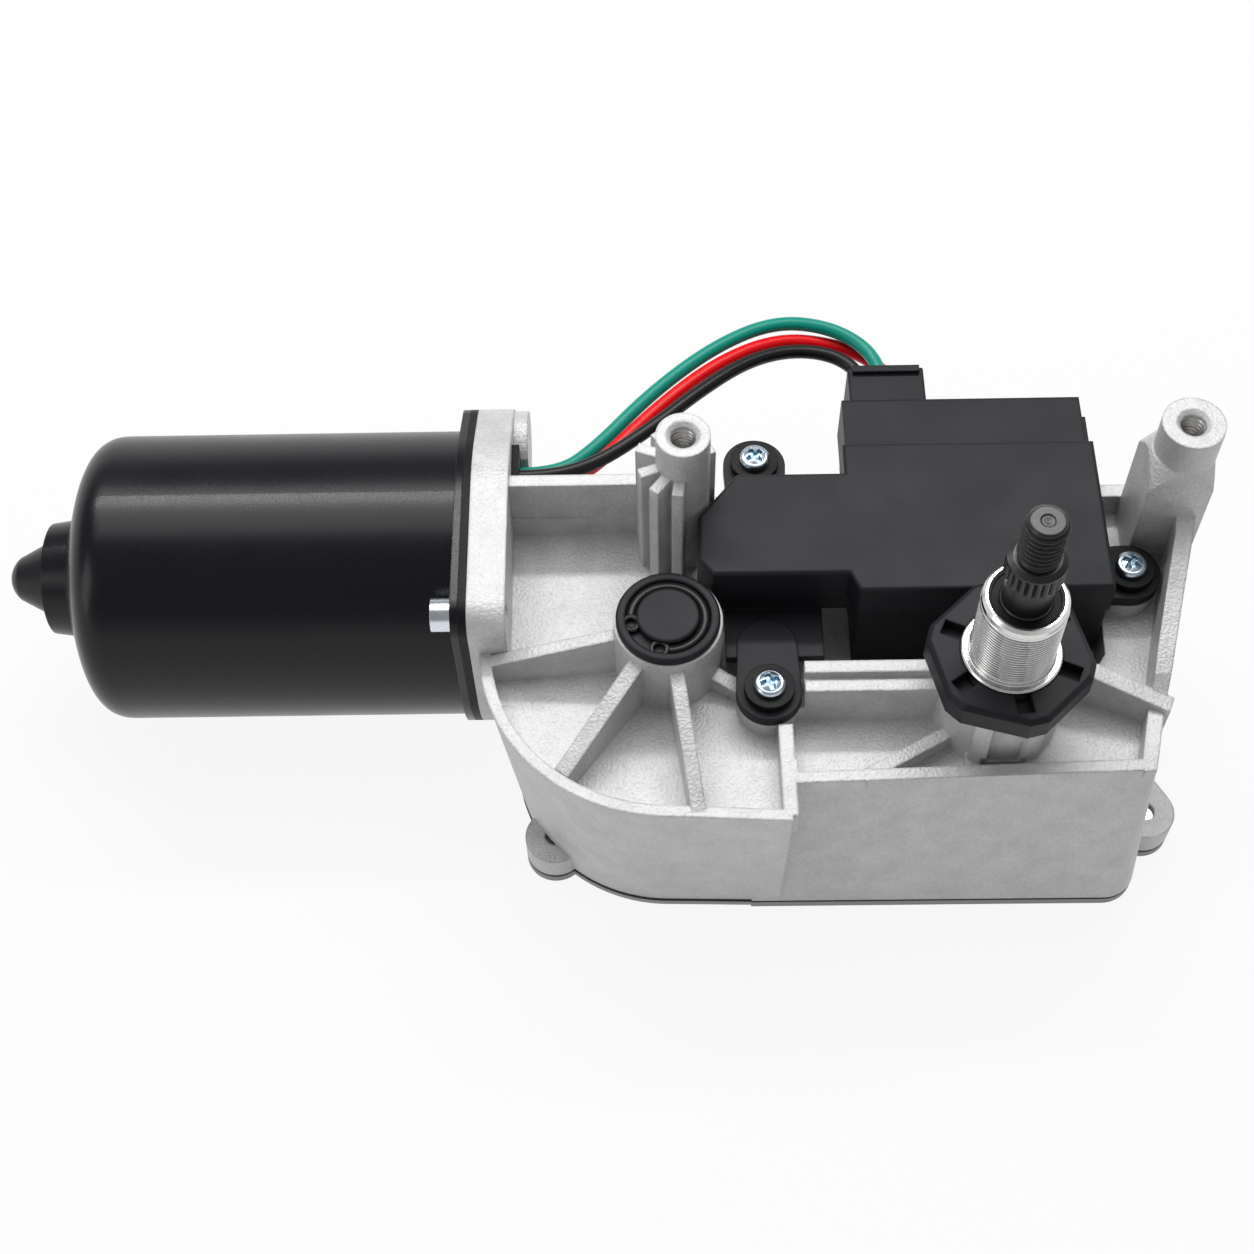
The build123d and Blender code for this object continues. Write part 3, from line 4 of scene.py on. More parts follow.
import bpy
import numpy as np
from bpy.props import FloatProperty, FloatVectorProperty, IntProperty, PointerProperty
from mathutils import Matrix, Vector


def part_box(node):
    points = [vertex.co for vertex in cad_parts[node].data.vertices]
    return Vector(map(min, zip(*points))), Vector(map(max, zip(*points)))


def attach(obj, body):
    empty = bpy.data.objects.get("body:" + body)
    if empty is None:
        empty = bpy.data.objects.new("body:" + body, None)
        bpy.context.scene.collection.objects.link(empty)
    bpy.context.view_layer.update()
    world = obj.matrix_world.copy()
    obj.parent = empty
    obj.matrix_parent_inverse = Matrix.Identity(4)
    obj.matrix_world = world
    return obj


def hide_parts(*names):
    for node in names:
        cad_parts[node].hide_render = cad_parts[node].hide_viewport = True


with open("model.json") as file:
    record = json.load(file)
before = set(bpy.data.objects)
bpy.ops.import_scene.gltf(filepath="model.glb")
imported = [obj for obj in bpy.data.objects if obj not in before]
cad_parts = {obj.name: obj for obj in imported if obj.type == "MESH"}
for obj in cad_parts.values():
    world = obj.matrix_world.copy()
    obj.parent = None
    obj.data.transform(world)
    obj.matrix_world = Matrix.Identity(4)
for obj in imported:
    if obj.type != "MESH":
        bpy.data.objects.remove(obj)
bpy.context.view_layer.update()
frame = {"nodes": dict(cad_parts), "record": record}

bl_info = {
    "name": "Wiper motor finish",
    "version": (1, 0, 0),
    "blender": (4, 5, 0),
    "location": "View3D > Sidebar > Wiper motor",
    "description": "Dresses the wiper motor with threads, screws, wires and finishes",
    "category": "Object",
}

MM = 0.001
PHOTO_SIZE = 1254
SENSOR = 36.0

# Sizes of the sleeve, the shaft, the posts' threads, the screws, the cap and its ring, in millimetres
SLEEVE_R = 8.0
SLEEVE_BORE_R = 6.33
SLEEVE_SEAT_Z = 64.5
SLEEVE_RING_Z = 70.6
SLEEVE_GROOVE = 0.5
SHAFT_R = 4.8
SHAFT_NECK_R = 4.5
SHAFT_NECK_Z = 88.4
KNURL_Z = 95.2
THREAD_Z = 101.8
THREAD_R = 4.0
THREAD_ROOT_R = 3.55
THREAD_GROOVE = 0.72
KNURL_GROOVE = 0.75
STEPS_A_FLUTE = 14
POST_GROOVE = 0.42
SCREW_HEAD_R = 3.1
SCREW_HEAD_H = 2.2
SCREW_SHANK_R = 1.9
SCREW_APART = 8.0
CAP_SPIGOT_R = 8.4
CAP_GROOVE_R = 8.2
CAP_DISC_R = 6.1
RING_R = (6.5, 7.9)
RING_T = 0.9
RING_MID = 223.0
RING_HALF_GAP = 42.0
EYE_TURN = 33.0
EYE_DIST = 7.2
EYE_R = (1.05, 1.95)

# Wires, with the radius in millimetres
WIRE_R = 1.5


# Settings


class CameraSettings(bpy.types.PropertyGroup):
    """Where the photograph was taken from."""
    place: FloatVectorProperty(name="Place", description="Camera position", subtype="TRANSLATION",
                               unit="LENGTH", default=(-0.06662, -0.18958, 0.38969))
    yaw: FloatProperty(name="Yaw", description="Turn about the upright", unit="ROTATION",
                       default=math.radians(-1.3666))
    pitch: FloatProperty(name="Pitch", description="Angle below the horizon", unit="ROTATION",
                         default=math.radians(58.507))
    roll: FloatProperty(name="Roll", description="Turn about the line of sight", unit="ROTATION",
                        default=math.radians(-1.967))
    focal: FloatProperty(name="Focal length", description="In pixels of the photograph", default=2000.0)


class StageSettings(bpy.types.PropertyGroup):
    """Floor and lamps."""
    floor_half: FloatProperty(name="Floor", description="Half the floor's width", unit="LENGTH", default=9.0)
    floor_colour: FloatVectorProperty(name="Floor colour", description="Pale floor", subtype="COLOR",
                                      default=(0.8, 0.8, 0.8))
    backdrop: FloatProperty(name="Backdrop", description="Share of plain white in what the eye sees",
                            subtype="FACTOR", default=0.9)
    ceiling: FloatProperty(name="Ceiling", description="Brightness overhead that glossy surfaces show",
                           subtype="FACTOR", default=0.32)
    sky: FloatProperty(name="Sky", description="Strength of the even light", default=0.3)
    top: FloatProperty(name="Top lamp", description="Power of the large overhead lamp in watts", default=2.2)
    strip: FloatProperty(name="Strip lamp", description="Power of the long lamp behind in watts", default=3.0)
    side: FloatProperty(name="Side lamp", description="Power of the left lamp in watts", default=0.9)


class ThreadSettings(bpy.types.PropertyGroup):
    """Threads and the knurl."""
    sleeve_pitch: FloatProperty(name="Sleeve pitch", description="Fine thread of the sleeve", unit="LENGTH",
                                default=0.8 * MM)
    shaft_pitch: FloatProperty(name="Shaft pitch", description="Thread of the shaft's end", unit="LENGTH",
                               default=1.25 * MM)
    post_pitch: FloatProperty(name="Post pitch", description="Thread inside the posts", unit="LENGTH",
                              default=1.0 * MM)
    flutes: IntProperty(name="Flutes", description="Teeth of the tapered knurl", default=22)


class ColourSettings(bpy.types.PropertyGroup):
    """Main colours."""
    casting: FloatVectorProperty(name="Casting", description="As-cast aluminium", subtype="COLOR",
                                 default=(0.66, 0.66, 0.664))
    paint: FloatVectorProperty(name="Paint", description="Black of the motor can", subtype="COLOR",
                               default=(0.002, 0.0024, 0.0048))
    plastic: FloatVectorProperty(name="Plastic", description="Black of the box and collar", subtype="COLOR",
                                 default=(0.0115, 0.0119, 0.0155))
    green: FloatVectorProperty(name="Green wire", description="Insulation", subtype="COLOR",
                               default=(0.0, 0.27, 0.2))
    red: FloatVectorProperty(name="Red wire", description="Insulation", subtype="COLOR",
                             default=(0.78, 0.002, 0.006))
    black: FloatVectorProperty(name="Black wire", description="Insulation", subtype="COLOR",
                               default=(0.005, 0.005, 0.0055))


class WiperMotorSettings(bpy.types.PropertyGroup):
    """All settings of the wiper motor."""
    camera: PointerProperty(type=CameraSettings)
    stage: PointerProperty(type=StageSettings)
    threads: PointerProperty(type=ThreadSettings)
    colours: PointerProperty(type=ColourSettings)


def settings():
    """The settings of the open scene."""
    return bpy.context.scene.wiper_motor


# Surfaces


def grid_faces(rows, columns, wrap_rows, wrap_columns):
    """Corner numbers of a grid's quads, going round where a direction closes on itself."""
    i = np.arange(rows if wrap_rows else rows - 1)[:, None]
    j = np.arange(columns if wrap_columns else columns - 1)[None, :]
    after_i = (i + 1) % rows
    after_j = (j + 1) % columns
    corners = [i * columns + j, i * columns + after_j, after_i * columns + after_j, after_i * columns + j]
    return np.stack(corners, axis=-1).reshape(-1, 4)


def outward(points, faces):
    """Faces turned so that their signed volume, the sum of a . (b x c) / 6 over triangles, is positive."""
    a, b, c, d = (points[faces[:, k]] for k in range(4))
    volume = (a * np.cross(b, c)).sum() + (a * np.cross(c, d)).sum()
    return faces if volume > 0 else faces[:, ::-1]


def add_piece(name, points, faces, material, body="housing", stands_for=(), grooves=None):
    """A mesh from point and face arrays, in millimetres of the frame, which rides on a body.
    Grooves are a second, darker material, painted shade for grooves and recesses, and the places of the faces
    that take it."""
    mesh = bpy.data.meshes.new(name)
    mesh.from_pydata((points * MM).tolist(), [], [list(dict.fromkeys(f)) for f in faces.tolist()])
    mesh.validate()
    mesh.polygons.foreach_set("use_smooth", np.ones(len(mesh.polygons), bool))
    mesh.materials.append(material)
    if grooves:
        mesh.materials.append(grooves[0])
        mesh.polygons.foreach_set("material_index", grooves[1].astype(np.int32))
    piece = bpy.data.objects.new(name, mesh)
    bpy.context.scene.collection.objects.link(piece)
    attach(piece, body)
    if stands_for:
        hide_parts(*stands_for)
    return piece


def turned(radii, heights, closed):
    """Surface of revolution about Z: x = r cos t, y = r sin t, z = h, with r given for each station and turn.
    A closed one joins its last station to its first, and an open one ends on the axis at both ends."""
    stations, turns = radii.shape
    t = np.linspace(0, 2 * np.pi, turns, endpoint=False)
    z = np.broadcast_to(heights[:, None], radii.shape)
    points = np.stack([radii * np.cos(t), radii * np.sin(t), z], axis=-1).reshape(-1, 3)
    faces = grid_faces(stations, turns, closed, True)
    if not closed:
        ends = np.array([[0, 0, heights[0]], [0, 0, heights[-1]]])
        ring = np.arange(turns)
        after = (ring + 1) % turns
        first, last = len(points), len(points) + 1
        top = (stations - 1) * turns
        fans = [np.stack([np.full(turns, first), after, ring, ring], -1),
                np.stack([np.full(turns, last), top + ring, top + after, top + after], -1)]
        points = np.vstack([points, ends])
        faces = np.vstack([faces, *fans])
    return points, outward(points, faces)


def deep_faces(depth, faces, limit):
    """The faces whose corners lie deeper than a limit on the whole, which take the painted shade of the
    grooves. Points past the grid count as flat.
    """
    values = np.zeros(faces.max() + 1)
    values[:depth.size] = depth.ravel()
    return values[faces].mean(axis=1) > limit


def densify(path, step):
    """Points along a polyline of (radius, height) at most one step apart."""
    out = [np.array(path[0], float)]
    for a, b in zip(path, path[1:]):
        a, b = np.array(a, float), np.array(b, float)
        count = max(1, int(np.ceil(np.linalg.norm(b - a) / step)))
        out.extend(a + (b - a) * (np.arange(1, count + 1)[:, None] / count))
    return np.array(out)


def fade(z, start, end, run):
    """1 between two heights and 0 outside, with a smooth run at each end."""
    up = np.clip((z - start) / run, 0, 1)
    down = np.clip((end - z) / run, 0, 1)
    both = np.minimum(up, down)
    return both * both * (3 - 2 * both)


def thread_depth(z, t, pitch):
    """Groove of a right-hand thread from 0 at the crest to 1 at the root: a wave in z / pitch - t / 2 pi."""
    phase = z / pitch - t / (2 * np.pi)
    return (0.5 - 0.5 * np.cos(2 * np.pi * phase)) ** 0.85


# Materials


def link(tree, source, output, target, entry):
    """One link between two nodes of a tree."""
    tree.links.new(source.outputs[output], target.inputs[entry])


def group_tree(name, entries, outputs):
    """An empty node group with its named sockets."""
    tree = bpy.data.node_groups.new(name, "ShaderNodeTree")
    for label, kind, value in entries:
        socket = tree.interface.new_socket(label, in_out="INPUT", socket_type=kind)
        socket.default_value = value
    for label, kind in outputs:
        tree.interface.new_socket(label, in_out="OUTPUT", socket_type=kind)
    return tree, tree.nodes.new("NodeGroupInput"), tree.nodes.new("NodeGroupOutput")


def grain_group():
    """Fine and coarse noise on Object coordinates, as a height and as a mask from 0 to 1."""
    name = "Surface grain"
    if name in bpy.data.node_groups:
        return bpy.data.node_groups[name]
    tree, into, out = group_tree(name, [("Fine", "NodeSocketFloat", 2500.0),
                                        ("Coarse", "NodeSocketFloat", 160.0)],
                                 [("Height", "NodeSocketFloat"), ("Mask", "NodeSocketFloat")])
    place = tree.nodes.new("ShaderNodeTexCoord")
    fine = tree.nodes.new("ShaderNodeTexNoise")
    coarse = tree.nodes.new("ShaderNodeTexNoise")
    for node, entry in ((fine, "Fine"), (coarse, "Coarse")):
        link(tree, place, "Object", node, "Vector")
        link(tree, into, entry, node, "Scale")
        node.inputs["Detail"].default_value = 3.0
    blend = tree.nodes.new("ShaderNodeMix")
    blend.inputs["Factor"].default_value = 0.5
    link(tree, coarse, "Fac", blend, "A")
    link(tree, fine, "Fac", blend, "B")
    spread = tree.nodes.new("ShaderNodeMapRange")
    spread.inputs["From Min"].default_value = 0.36
    spread.inputs["From Max"].default_value = 0.64
    link(tree, blend, "Result", spread, "Value")
    link(tree, fine, "Fac", out, "Height")
    link(tree, spread, "Result", out, "Mask")
    return tree


def flow_group():
    """Thin wandering lines that a melt leaves: the places where a slow noise crosses even steps."""
    name = "Flow lines"
    if name in bpy.data.node_groups:
        return bpy.data.node_groups[name]
    tree, into, out = group_tree(name, [("Scale", "NodeSocketFloat", 90.0),
                                        ("Steps", "NodeSocketFloat", 7.0)],
                                 [("Line", "NodeSocketFloat")])
    place = tree.nodes.new("ShaderNodeTexCoord")
    noise = tree.nodes.new("ShaderNodeTexNoise")
    noise.inputs["Detail"].default_value = 4.0
    noise.inputs["Roughness"].default_value = 0.62
    link(tree, place, "Object", noise, "Vector")
    link(tree, into, "Scale", noise, "Scale")
    steps = tree.nodes.new("ShaderNodeMath")
    steps.operation = "MULTIPLY"
    link(tree, noise, "Fac", steps, 0)
    link(tree, into, "Steps", steps, 1)
    part = tree.nodes.new("ShaderNodeMath")
    part.operation = "PINGPONG"
    part.inputs[1].default_value = 0.5
    link(tree, steps, "Value", part, 0)
    line = tree.nodes.new("ShaderNodeMapRange")
    line.interpolation_type = "SMOOTHSTEP"
    line.inputs["From Min"].default_value = 0.0
    line.inputs["From Max"].default_value = 0.12
    line.inputs["To Min"].default_value = 1.0
    line.inputs["To Max"].default_value = 0.0
    link(tree, part, "Value", line, "Value")
    link(tree, line, "Result", out, "Line")
    return tree


def plain_material(name, colour, metallic, roughness, specular=0.5):
    """A Principled material, and its tree and shader."""
    material = bpy.data.materials.new(name)
    material.use_nodes = True
    tree = material.node_tree
    shader = tree.nodes["Principled BSDF"]
    shader.inputs["Base Color"].default_value = (*colour, 1.0)
    shader.inputs["Metallic"].default_value = metallic
    shader.inputs["Roughness"].default_value = roughness
    shader.inputs["Specular IOR Level"].default_value = specular
    return material, tree, shader


def rounded_edges(tree, radius):
    """A Bevel node that softens the edges of the solids by a radius."""
    node = tree.nodes.new("ShaderNodeBevel")
    node.samples = 4
    node.inputs["Radius"].default_value = radius
    return node


def grained(material_parts, colour, dark, roughness, fine, coarse, bump, edge):
    """Adds grain to a material: colour and roughness vary with the mask, and a small bump with the height."""
    tree, shader = material_parts[1:]
    grain = tree.nodes.new("ShaderNodeGroup")
    grain.node_tree = grain_group()
    grain.inputs["Fine"].default_value = fine
    grain.inputs["Coarse"].default_value = coarse
    tint = tree.nodes.new("ShaderNodeMix")
    tint.data_type = "RGBA"
    tint.inputs["A"].default_value = (*[c * dark for c in colour], 1.0)
    tint.inputs["B"].default_value = (*colour, 1.0)
    link(tree, grain, "Mask", tint, "Factor")
    tree.links.new(tint.outputs["Result"], shader.inputs["Base Color"])
    gloss = tree.nodes.new("ShaderNodeMapRange")
    gloss.inputs["To Min"].default_value = roughness * 0.9
    gloss.inputs["To Max"].default_value = roughness * 1.12
    link(tree, grain, "Mask", gloss, "Value")
    link(tree, gloss, "Result", shader, "Roughness")
    relief = tree.nodes.new("ShaderNodeBump")
    relief.inputs["Strength"].default_value = bump
    relief.inputs["Distance"].default_value = 0.1 * MM
    link(tree, grain, "Height", relief, "Height")
    if edge:
        link(tree, rounded_edges(tree, edge), "Normal", relief, "Normal")
    link(tree, relief, "Normal", shader, "Normal")
    return tint, relief


def casting_material():
    """As-cast aluminium: pale, slightly mottled, with a fine grain and very faint flow lines."""
    colour = settings().colours.casting
    parts = plain_material("cast_aluminium", colour, 0.3, 0.5)
    material, tree, shader = parts
    tint, relief = grained(parts, colour, 0.77, 0.48, 1700.0, 170.0, 1.0, 0.7 * MM)
    relief.inputs["Distance"].default_value = 0.2 * MM
    flow = tree.nodes.new("ShaderNodeGroup")
    flow.node_tree = flow_group()
    flow.inputs["Scale"].default_value = 150.0
    flow.inputs["Steps"].default_value = 6.0
    faint = tree.nodes.new("ShaderNodeMath")
    faint.operation = "MULTIPLY"
    faint.inputs[1].default_value = 0.07
    link(tree, flow, "Line", faint, 0)
    darker = tree.nodes.new("ShaderNodeMix")
    darker.data_type = "RGBA"
    darker.inputs["B"].default_value = (*[c * 0.6 for c in colour], 1.0)
    tree.links.new(tint.outputs["Result"], darker.inputs["A"])
    link(tree, faint, "Value", darker, "Factor")
    tree.links.new(darker.outputs["Result"], shader.inputs["Base Color"])
    ridge = tree.nodes.new("ShaderNodeMath")
    ridge.operation = "SUBTRACT"
    link(tree, relief.inputs["Height"].links[0].from_node, "Height", ridge, 0)
    link(tree, faint, "Value", ridge, 1)
    link(tree, ridge, "Value", relief, "Height")
    return material


def paint_material():
    """Satin black paint of the can, with a faint unevenness in its gloss."""
    colour = settings().colours.paint
    parts = plain_material("black_paint", colour, 0.0, 0.27, 0.31)
    grained(parts, colour, 0.95, 0.27, 1800.0, 60.0, 0.02, 0.5 * MM)
    return parts[0]


def plastic_material(name="black_plastic", colour=None, roughness=0.46, specular=0.2):
    """Black moulded plastic with a fine grain."""
    colour = colour or settings().colours.plastic
    parts = plain_material(name, colour, 0.0, roughness, specular)
    grained(parts, colour, 0.85, roughness, 3500.0, 90.0, 0.16, 0.5 * MM)
    return parts[0]


def rubber_material(name="black_rubber", colour=(0.005, 0.005, 0.0055), roughness=0.5):
    """Soft black rubber."""
    parts = plain_material(name, colour, 0.0, roughness, 0.18)
    grained(parts, colour, 0.8, roughness, 1500.0, 120.0, 0.08, 0.3 * MM)
    return parts[0]


def metal_material(name, colour, roughness, dark=0.88, bump=0.05, edge=0.25, metallic=1.0, fine=1800.0):
    """Bare or plated metal with slight marks in its gloss."""
    parts = plain_material(name, colour, metallic, roughness)
    grained(parts, colour, dark, roughness, fine, 220.0, bump, edge * MM)
    return parts[0]


def dress(material, *nodes):
    """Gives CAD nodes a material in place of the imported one."""
    for name in nodes:
        mesh = frame["nodes"][name].data
        mesh.materials.clear()
        mesh.materials.append(material)


# Operators


class WIPER_OT_casting(bpy.types.Operator):
    """Finishes the aluminium casting"""
    bl_idname = "wiper.casting"
    bl_label = "Casting"

    def execute(self, context):
        dress(casting_material(), "gear_housing")
        return {"FINISHED"}


class WIPER_OT_motor(bpy.types.Operator):
    """Finishes the painted can and its cap"""
    bl_idname = "wiper.motor"
    bl_label = "Motor can"

    def execute(self, context):
        dress(paint_material(), "motor_can", "thrust_cap")
        return {"FINISHED"}


class WIPER_OT_plastics(bpy.types.Operator):
    """Finishes the box, the plug, the collar, the gaskets, the seal and the grommets"""
    bl_idname = "wiper.plastics"
    bl_label = "Black plastics"

    def execute(self, context):
        dress(plastic_material(), "controller_lid", "controller_base", "connector_plug", "hex_collar")
        dress(rubber_material(), "can_gasket", "cover_gasket", "shaft_seal", "box_grommets", "wire_grommet")
        return {"FINISHED"}


class WIPER_OT_metals(bpy.types.Operator):
    """Finishes the screws, pins, cover and other small metal parts"""
    bl_idname = "wiper.metals"
    bl_label = "Metal parts"

    def execute(self, context):
        dress(metal_material("zinc_steel", (0.72, 0.78, 0.84), 0.22), "can_screws", "cover_screws",
              "connecting_rod")
        dress(metal_material("cover_sheet", (0.3, 0.3, 0.3), 0.5, metallic=0.4), "bottom_cover")
        dress(metal_material("steel", (0.5, 0.5, 0.5), 0.3), "gear_shaft", "gear_clip", "crank_pin",
              "crank_clip", "rocker_arm", "rocker_pin", "armature_shaft", "brush_springs")
        dress(metal_material("bronze", (0.5, 0.34, 0.16), 0.4), "rear_bearing", "front_bearing",
              "worm_end_bush", "lower_bush", "upper_bush", "thrust_washer")
        dress(metal_material("copper", (0.72, 0.3, 0.16), 0.32), "windings", "commutator")
        dress(metal_material("lamination", (0.2, 0.2, 0.22), 0.5), "armature_core", "magnets")
        return {"FINISHED"}


class WIPER_OT_inner_plastics(bpy.types.Operator):
    """Finishes the gear, the brush holder, the brushes and the circuit board"""
    bl_idname = "wiper.inner_plastics"
    bl_label = "Inner plastics"

    def execute(self, context):
        dress(plastic_material("gear_plastic", (0.7, 0.66, 0.56), 0.45), "worm_gear")
        dress(plastic_material("holder_plastic", (0.12, 0.1, 0.08), 0.5), "brush_holder")
        dress(plastic_material("carbon", (0.03, 0.03, 0.03), 0.6), "brushes")
        dress(plastic_material("board", (0.02, 0.14, 0.06), 0.4), "circuit_board")
        return {"FINISHED"}


class WIPER_OT_sleeve(bpy.types.Operator):
    """Makes the threaded sleeve round the shaft"""
    bl_idname = "wiper.sleeve"
    bl_label = "Threaded sleeve"

    def execute(self, context):
        low, high = (np.array(corner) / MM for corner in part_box("mounting_sleeve"))
        ring_r, top, foot = high[0], high[2], low[2]
        thread_r, bore_r, seat, ring_top = SLEEVE_R, SLEEVE_BORE_R, SLEEVE_SEAT_Z, SLEEVE_RING_Z
        path = densify([(bore_r, foot), (bore_r, top - 0.5), (bore_r + 0.5, top), (thread_r - 0.7, top),
                        (thread_r - 0.15, top - 0.7), (thread_r - 0.15, top - 1.9), (thread_r, top - 2.1),
                        (thread_r, ring_top + 0.5), (thread_r + 0.2, ring_top), (ring_r - 0.3, ring_top),
                        (ring_r, ring_top - 0.3), (ring_r, seat), (thread_r, seat), (thread_r, foot),
                        (bore_r, foot)], 0.08)[:-1]
        turns = np.linspace(0, 2 * np.pi, 96, endpoint=False)
        outside = (path[:, 0] > thread_r - 0.05) & (path[:, 0] < thread_r + 0.05) & (path[:, 1] > ring_top)
        pitch = settings().threads.sleeve_pitch / MM
        groove = thread_depth(path[:, 1][:, None], turns[None, :], pitch)
        groove = groove * (fade(path[:, 1], ring_top + 0.6, top - 2.4, 0.5) * outside)[:, None]
        radii = path[:, 0][:, None] - SLEEVE_GROOVE * groove
        points, faces = turned(radii, path[:, 1], True)
        metal = metal_material("bright_steel", (0.74, 0.74, 0.73), 0.22, edge=0.05)
        # painted shade: the faces deep in the thread take a darker steel, so the roots of the bright sleeve
        # read as shaded
        root = metal_material("steel_thread_painted_shade", (0.2, 0.2, 0.2), 0.4, edge=0.05)
        deep = deep_faces(groove, faces, 0.55)
        add_piece("threaded_sleeve", points, faces, metal, "housing", ["mounting_sleeve"],
                  (root, deep))
        return {"FINISHED"}


class WIPER_OT_shaft(bpy.types.Operator):
    """Makes the output shaft with its knurl and threaded end"""
    bl_idname = "wiper.shaft"
    bl_label = "Output shaft"

    def execute(self, context):
        low, high = (np.array(corner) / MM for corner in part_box("output_shaft"))
        foot, top = low[2], high[2]
        knurl_r, knurl_z, thread_z = high[0], KNURL_Z, THREAD_Z
        path = densify([(0.4, foot), (SHAFT_R, foot), (SHAFT_R, SHAFT_NECK_Z - 0.3),
                        (SHAFT_NECK_R, SHAFT_NECK_Z), (SHAFT_NECK_R, knurl_z), (knurl_r, knurl_z + 1.0),
                        (knurl_r, thread_z - 0.7), (THREAD_R + 0.3, thread_z - 0.1),
                        (THREAD_ROOT_R, thread_z), (THREAD_ROOT_R, thread_z + 0.3),
                        (THREAD_R, thread_z + 0.8), (THREAD_R, top - 1.0), (THREAD_R - 0.9, top - 0.1),
                        (THREAD_R - 1.1, top), (1.35, top), (1.15, top - 0.2), (0.9, top - 0.2),
                        (0.1, top - 0.3)], 0.12)
        flutes = settings().threads.flutes
        turns = np.linspace(0, 2 * np.pi, flutes * STEPS_A_FLUTE, endpoint=False)
        z = path[:, 1][:, None]
        pitch = settings().threads.shaft_pitch / MM
        on_thread = fade(path[:, 1], thread_z + 0.6, top - 0.3, 0.6)[:, None] * (path[:, 0] > 2.0)[:, None]
        on_knurl = fade(path[:, 1], knurl_z - 0.3, thread_z - 1.1, 0.6)[:, None]
        wave = np.abs(np.sin(0.5 * flutes * turns))[None, :] ** 0.9
        groove = on_thread * thread_depth(z, turns[None, :], pitch)
        valley = on_knurl * (1 - wave)
        radii = path[:, 0][:, None] - THREAD_GROOVE * groove - KNURL_GROOVE * valley
        points, faces = turned(radii, path[:, 1], False)
        oxide = metal_material("black_oxide", (0.05, 0.048, 0.05), 0.34, metallic=0.8, edge=0.05)
        # painted shade: the faces deep in the thread and the knurl's valleys take a darker, rougher oxide, so
        # the grooves read as shaded
        root = metal_material("oxide_groove_painted_shade", (0.012, 0.012, 0.012), 0.5, metallic=0.5, edge=0.05)
        deep = deep_faces(np.maximum(groove, valley), faces, 0.6)
        add_piece("knurled_shaft", points, faces, oxide, "output", ["output_shaft"],
                  (root, deep))
        return {"FINISHED"}


class WIPER_OT_post_threads(bpy.types.Operator):
    """Makes the threads inside the two posts"""
    bl_idname = "wiper.post_threads"
    bl_label = "Post threads"

    def execute(self, context):
        metal = metal_material("tapped_aluminium", (0.6, 0.59, 0.57), 0.3, edge=0.05)
        pitch = settings().threads.post_pitch / MM
        for mount in frame["record"]["mounts"]:
            if mount["kind"] != "threaded_hole":
                continue
            x, y, middle = (c / MM for c in mount["pos_m"])
            radius = mount["dims"]["r_mm"]
            half = mount["dims"]["length_mm"] / 2
            path = densify([(radius - 0.02, middle + half - 0.6), (radius - 0.02, middle - half + 0.4),
                            (radius - 0.06, middle - half + 0.4), (radius - 0.06, middle + half - 0.6),
                            (radius - 0.02, middle + half - 0.6)], 0.125)[:-1]
            turns = np.linspace(0, 2 * np.pi, 72, endpoint=False)
            inner = (path[:, 0] < radius - 0.04)[:, None]
            crest = 1 - thread_depth(path[:, 1][:, None], turns[None, :], pitch)
            ends = fade(path[:, 1], middle - half + 0.4, middle + half - 0.6, 0.5)[:, None]
            radii = path[:, 0][:, None] - POST_GROOVE * inner * crest * ends
            points, faces = turned(radii, path[:, 1], True)
            points = points + np.array([x, y, 0])
            add_piece(mount["name"] + "_thread", points, faces, metal)
        return {"FINISHED"}


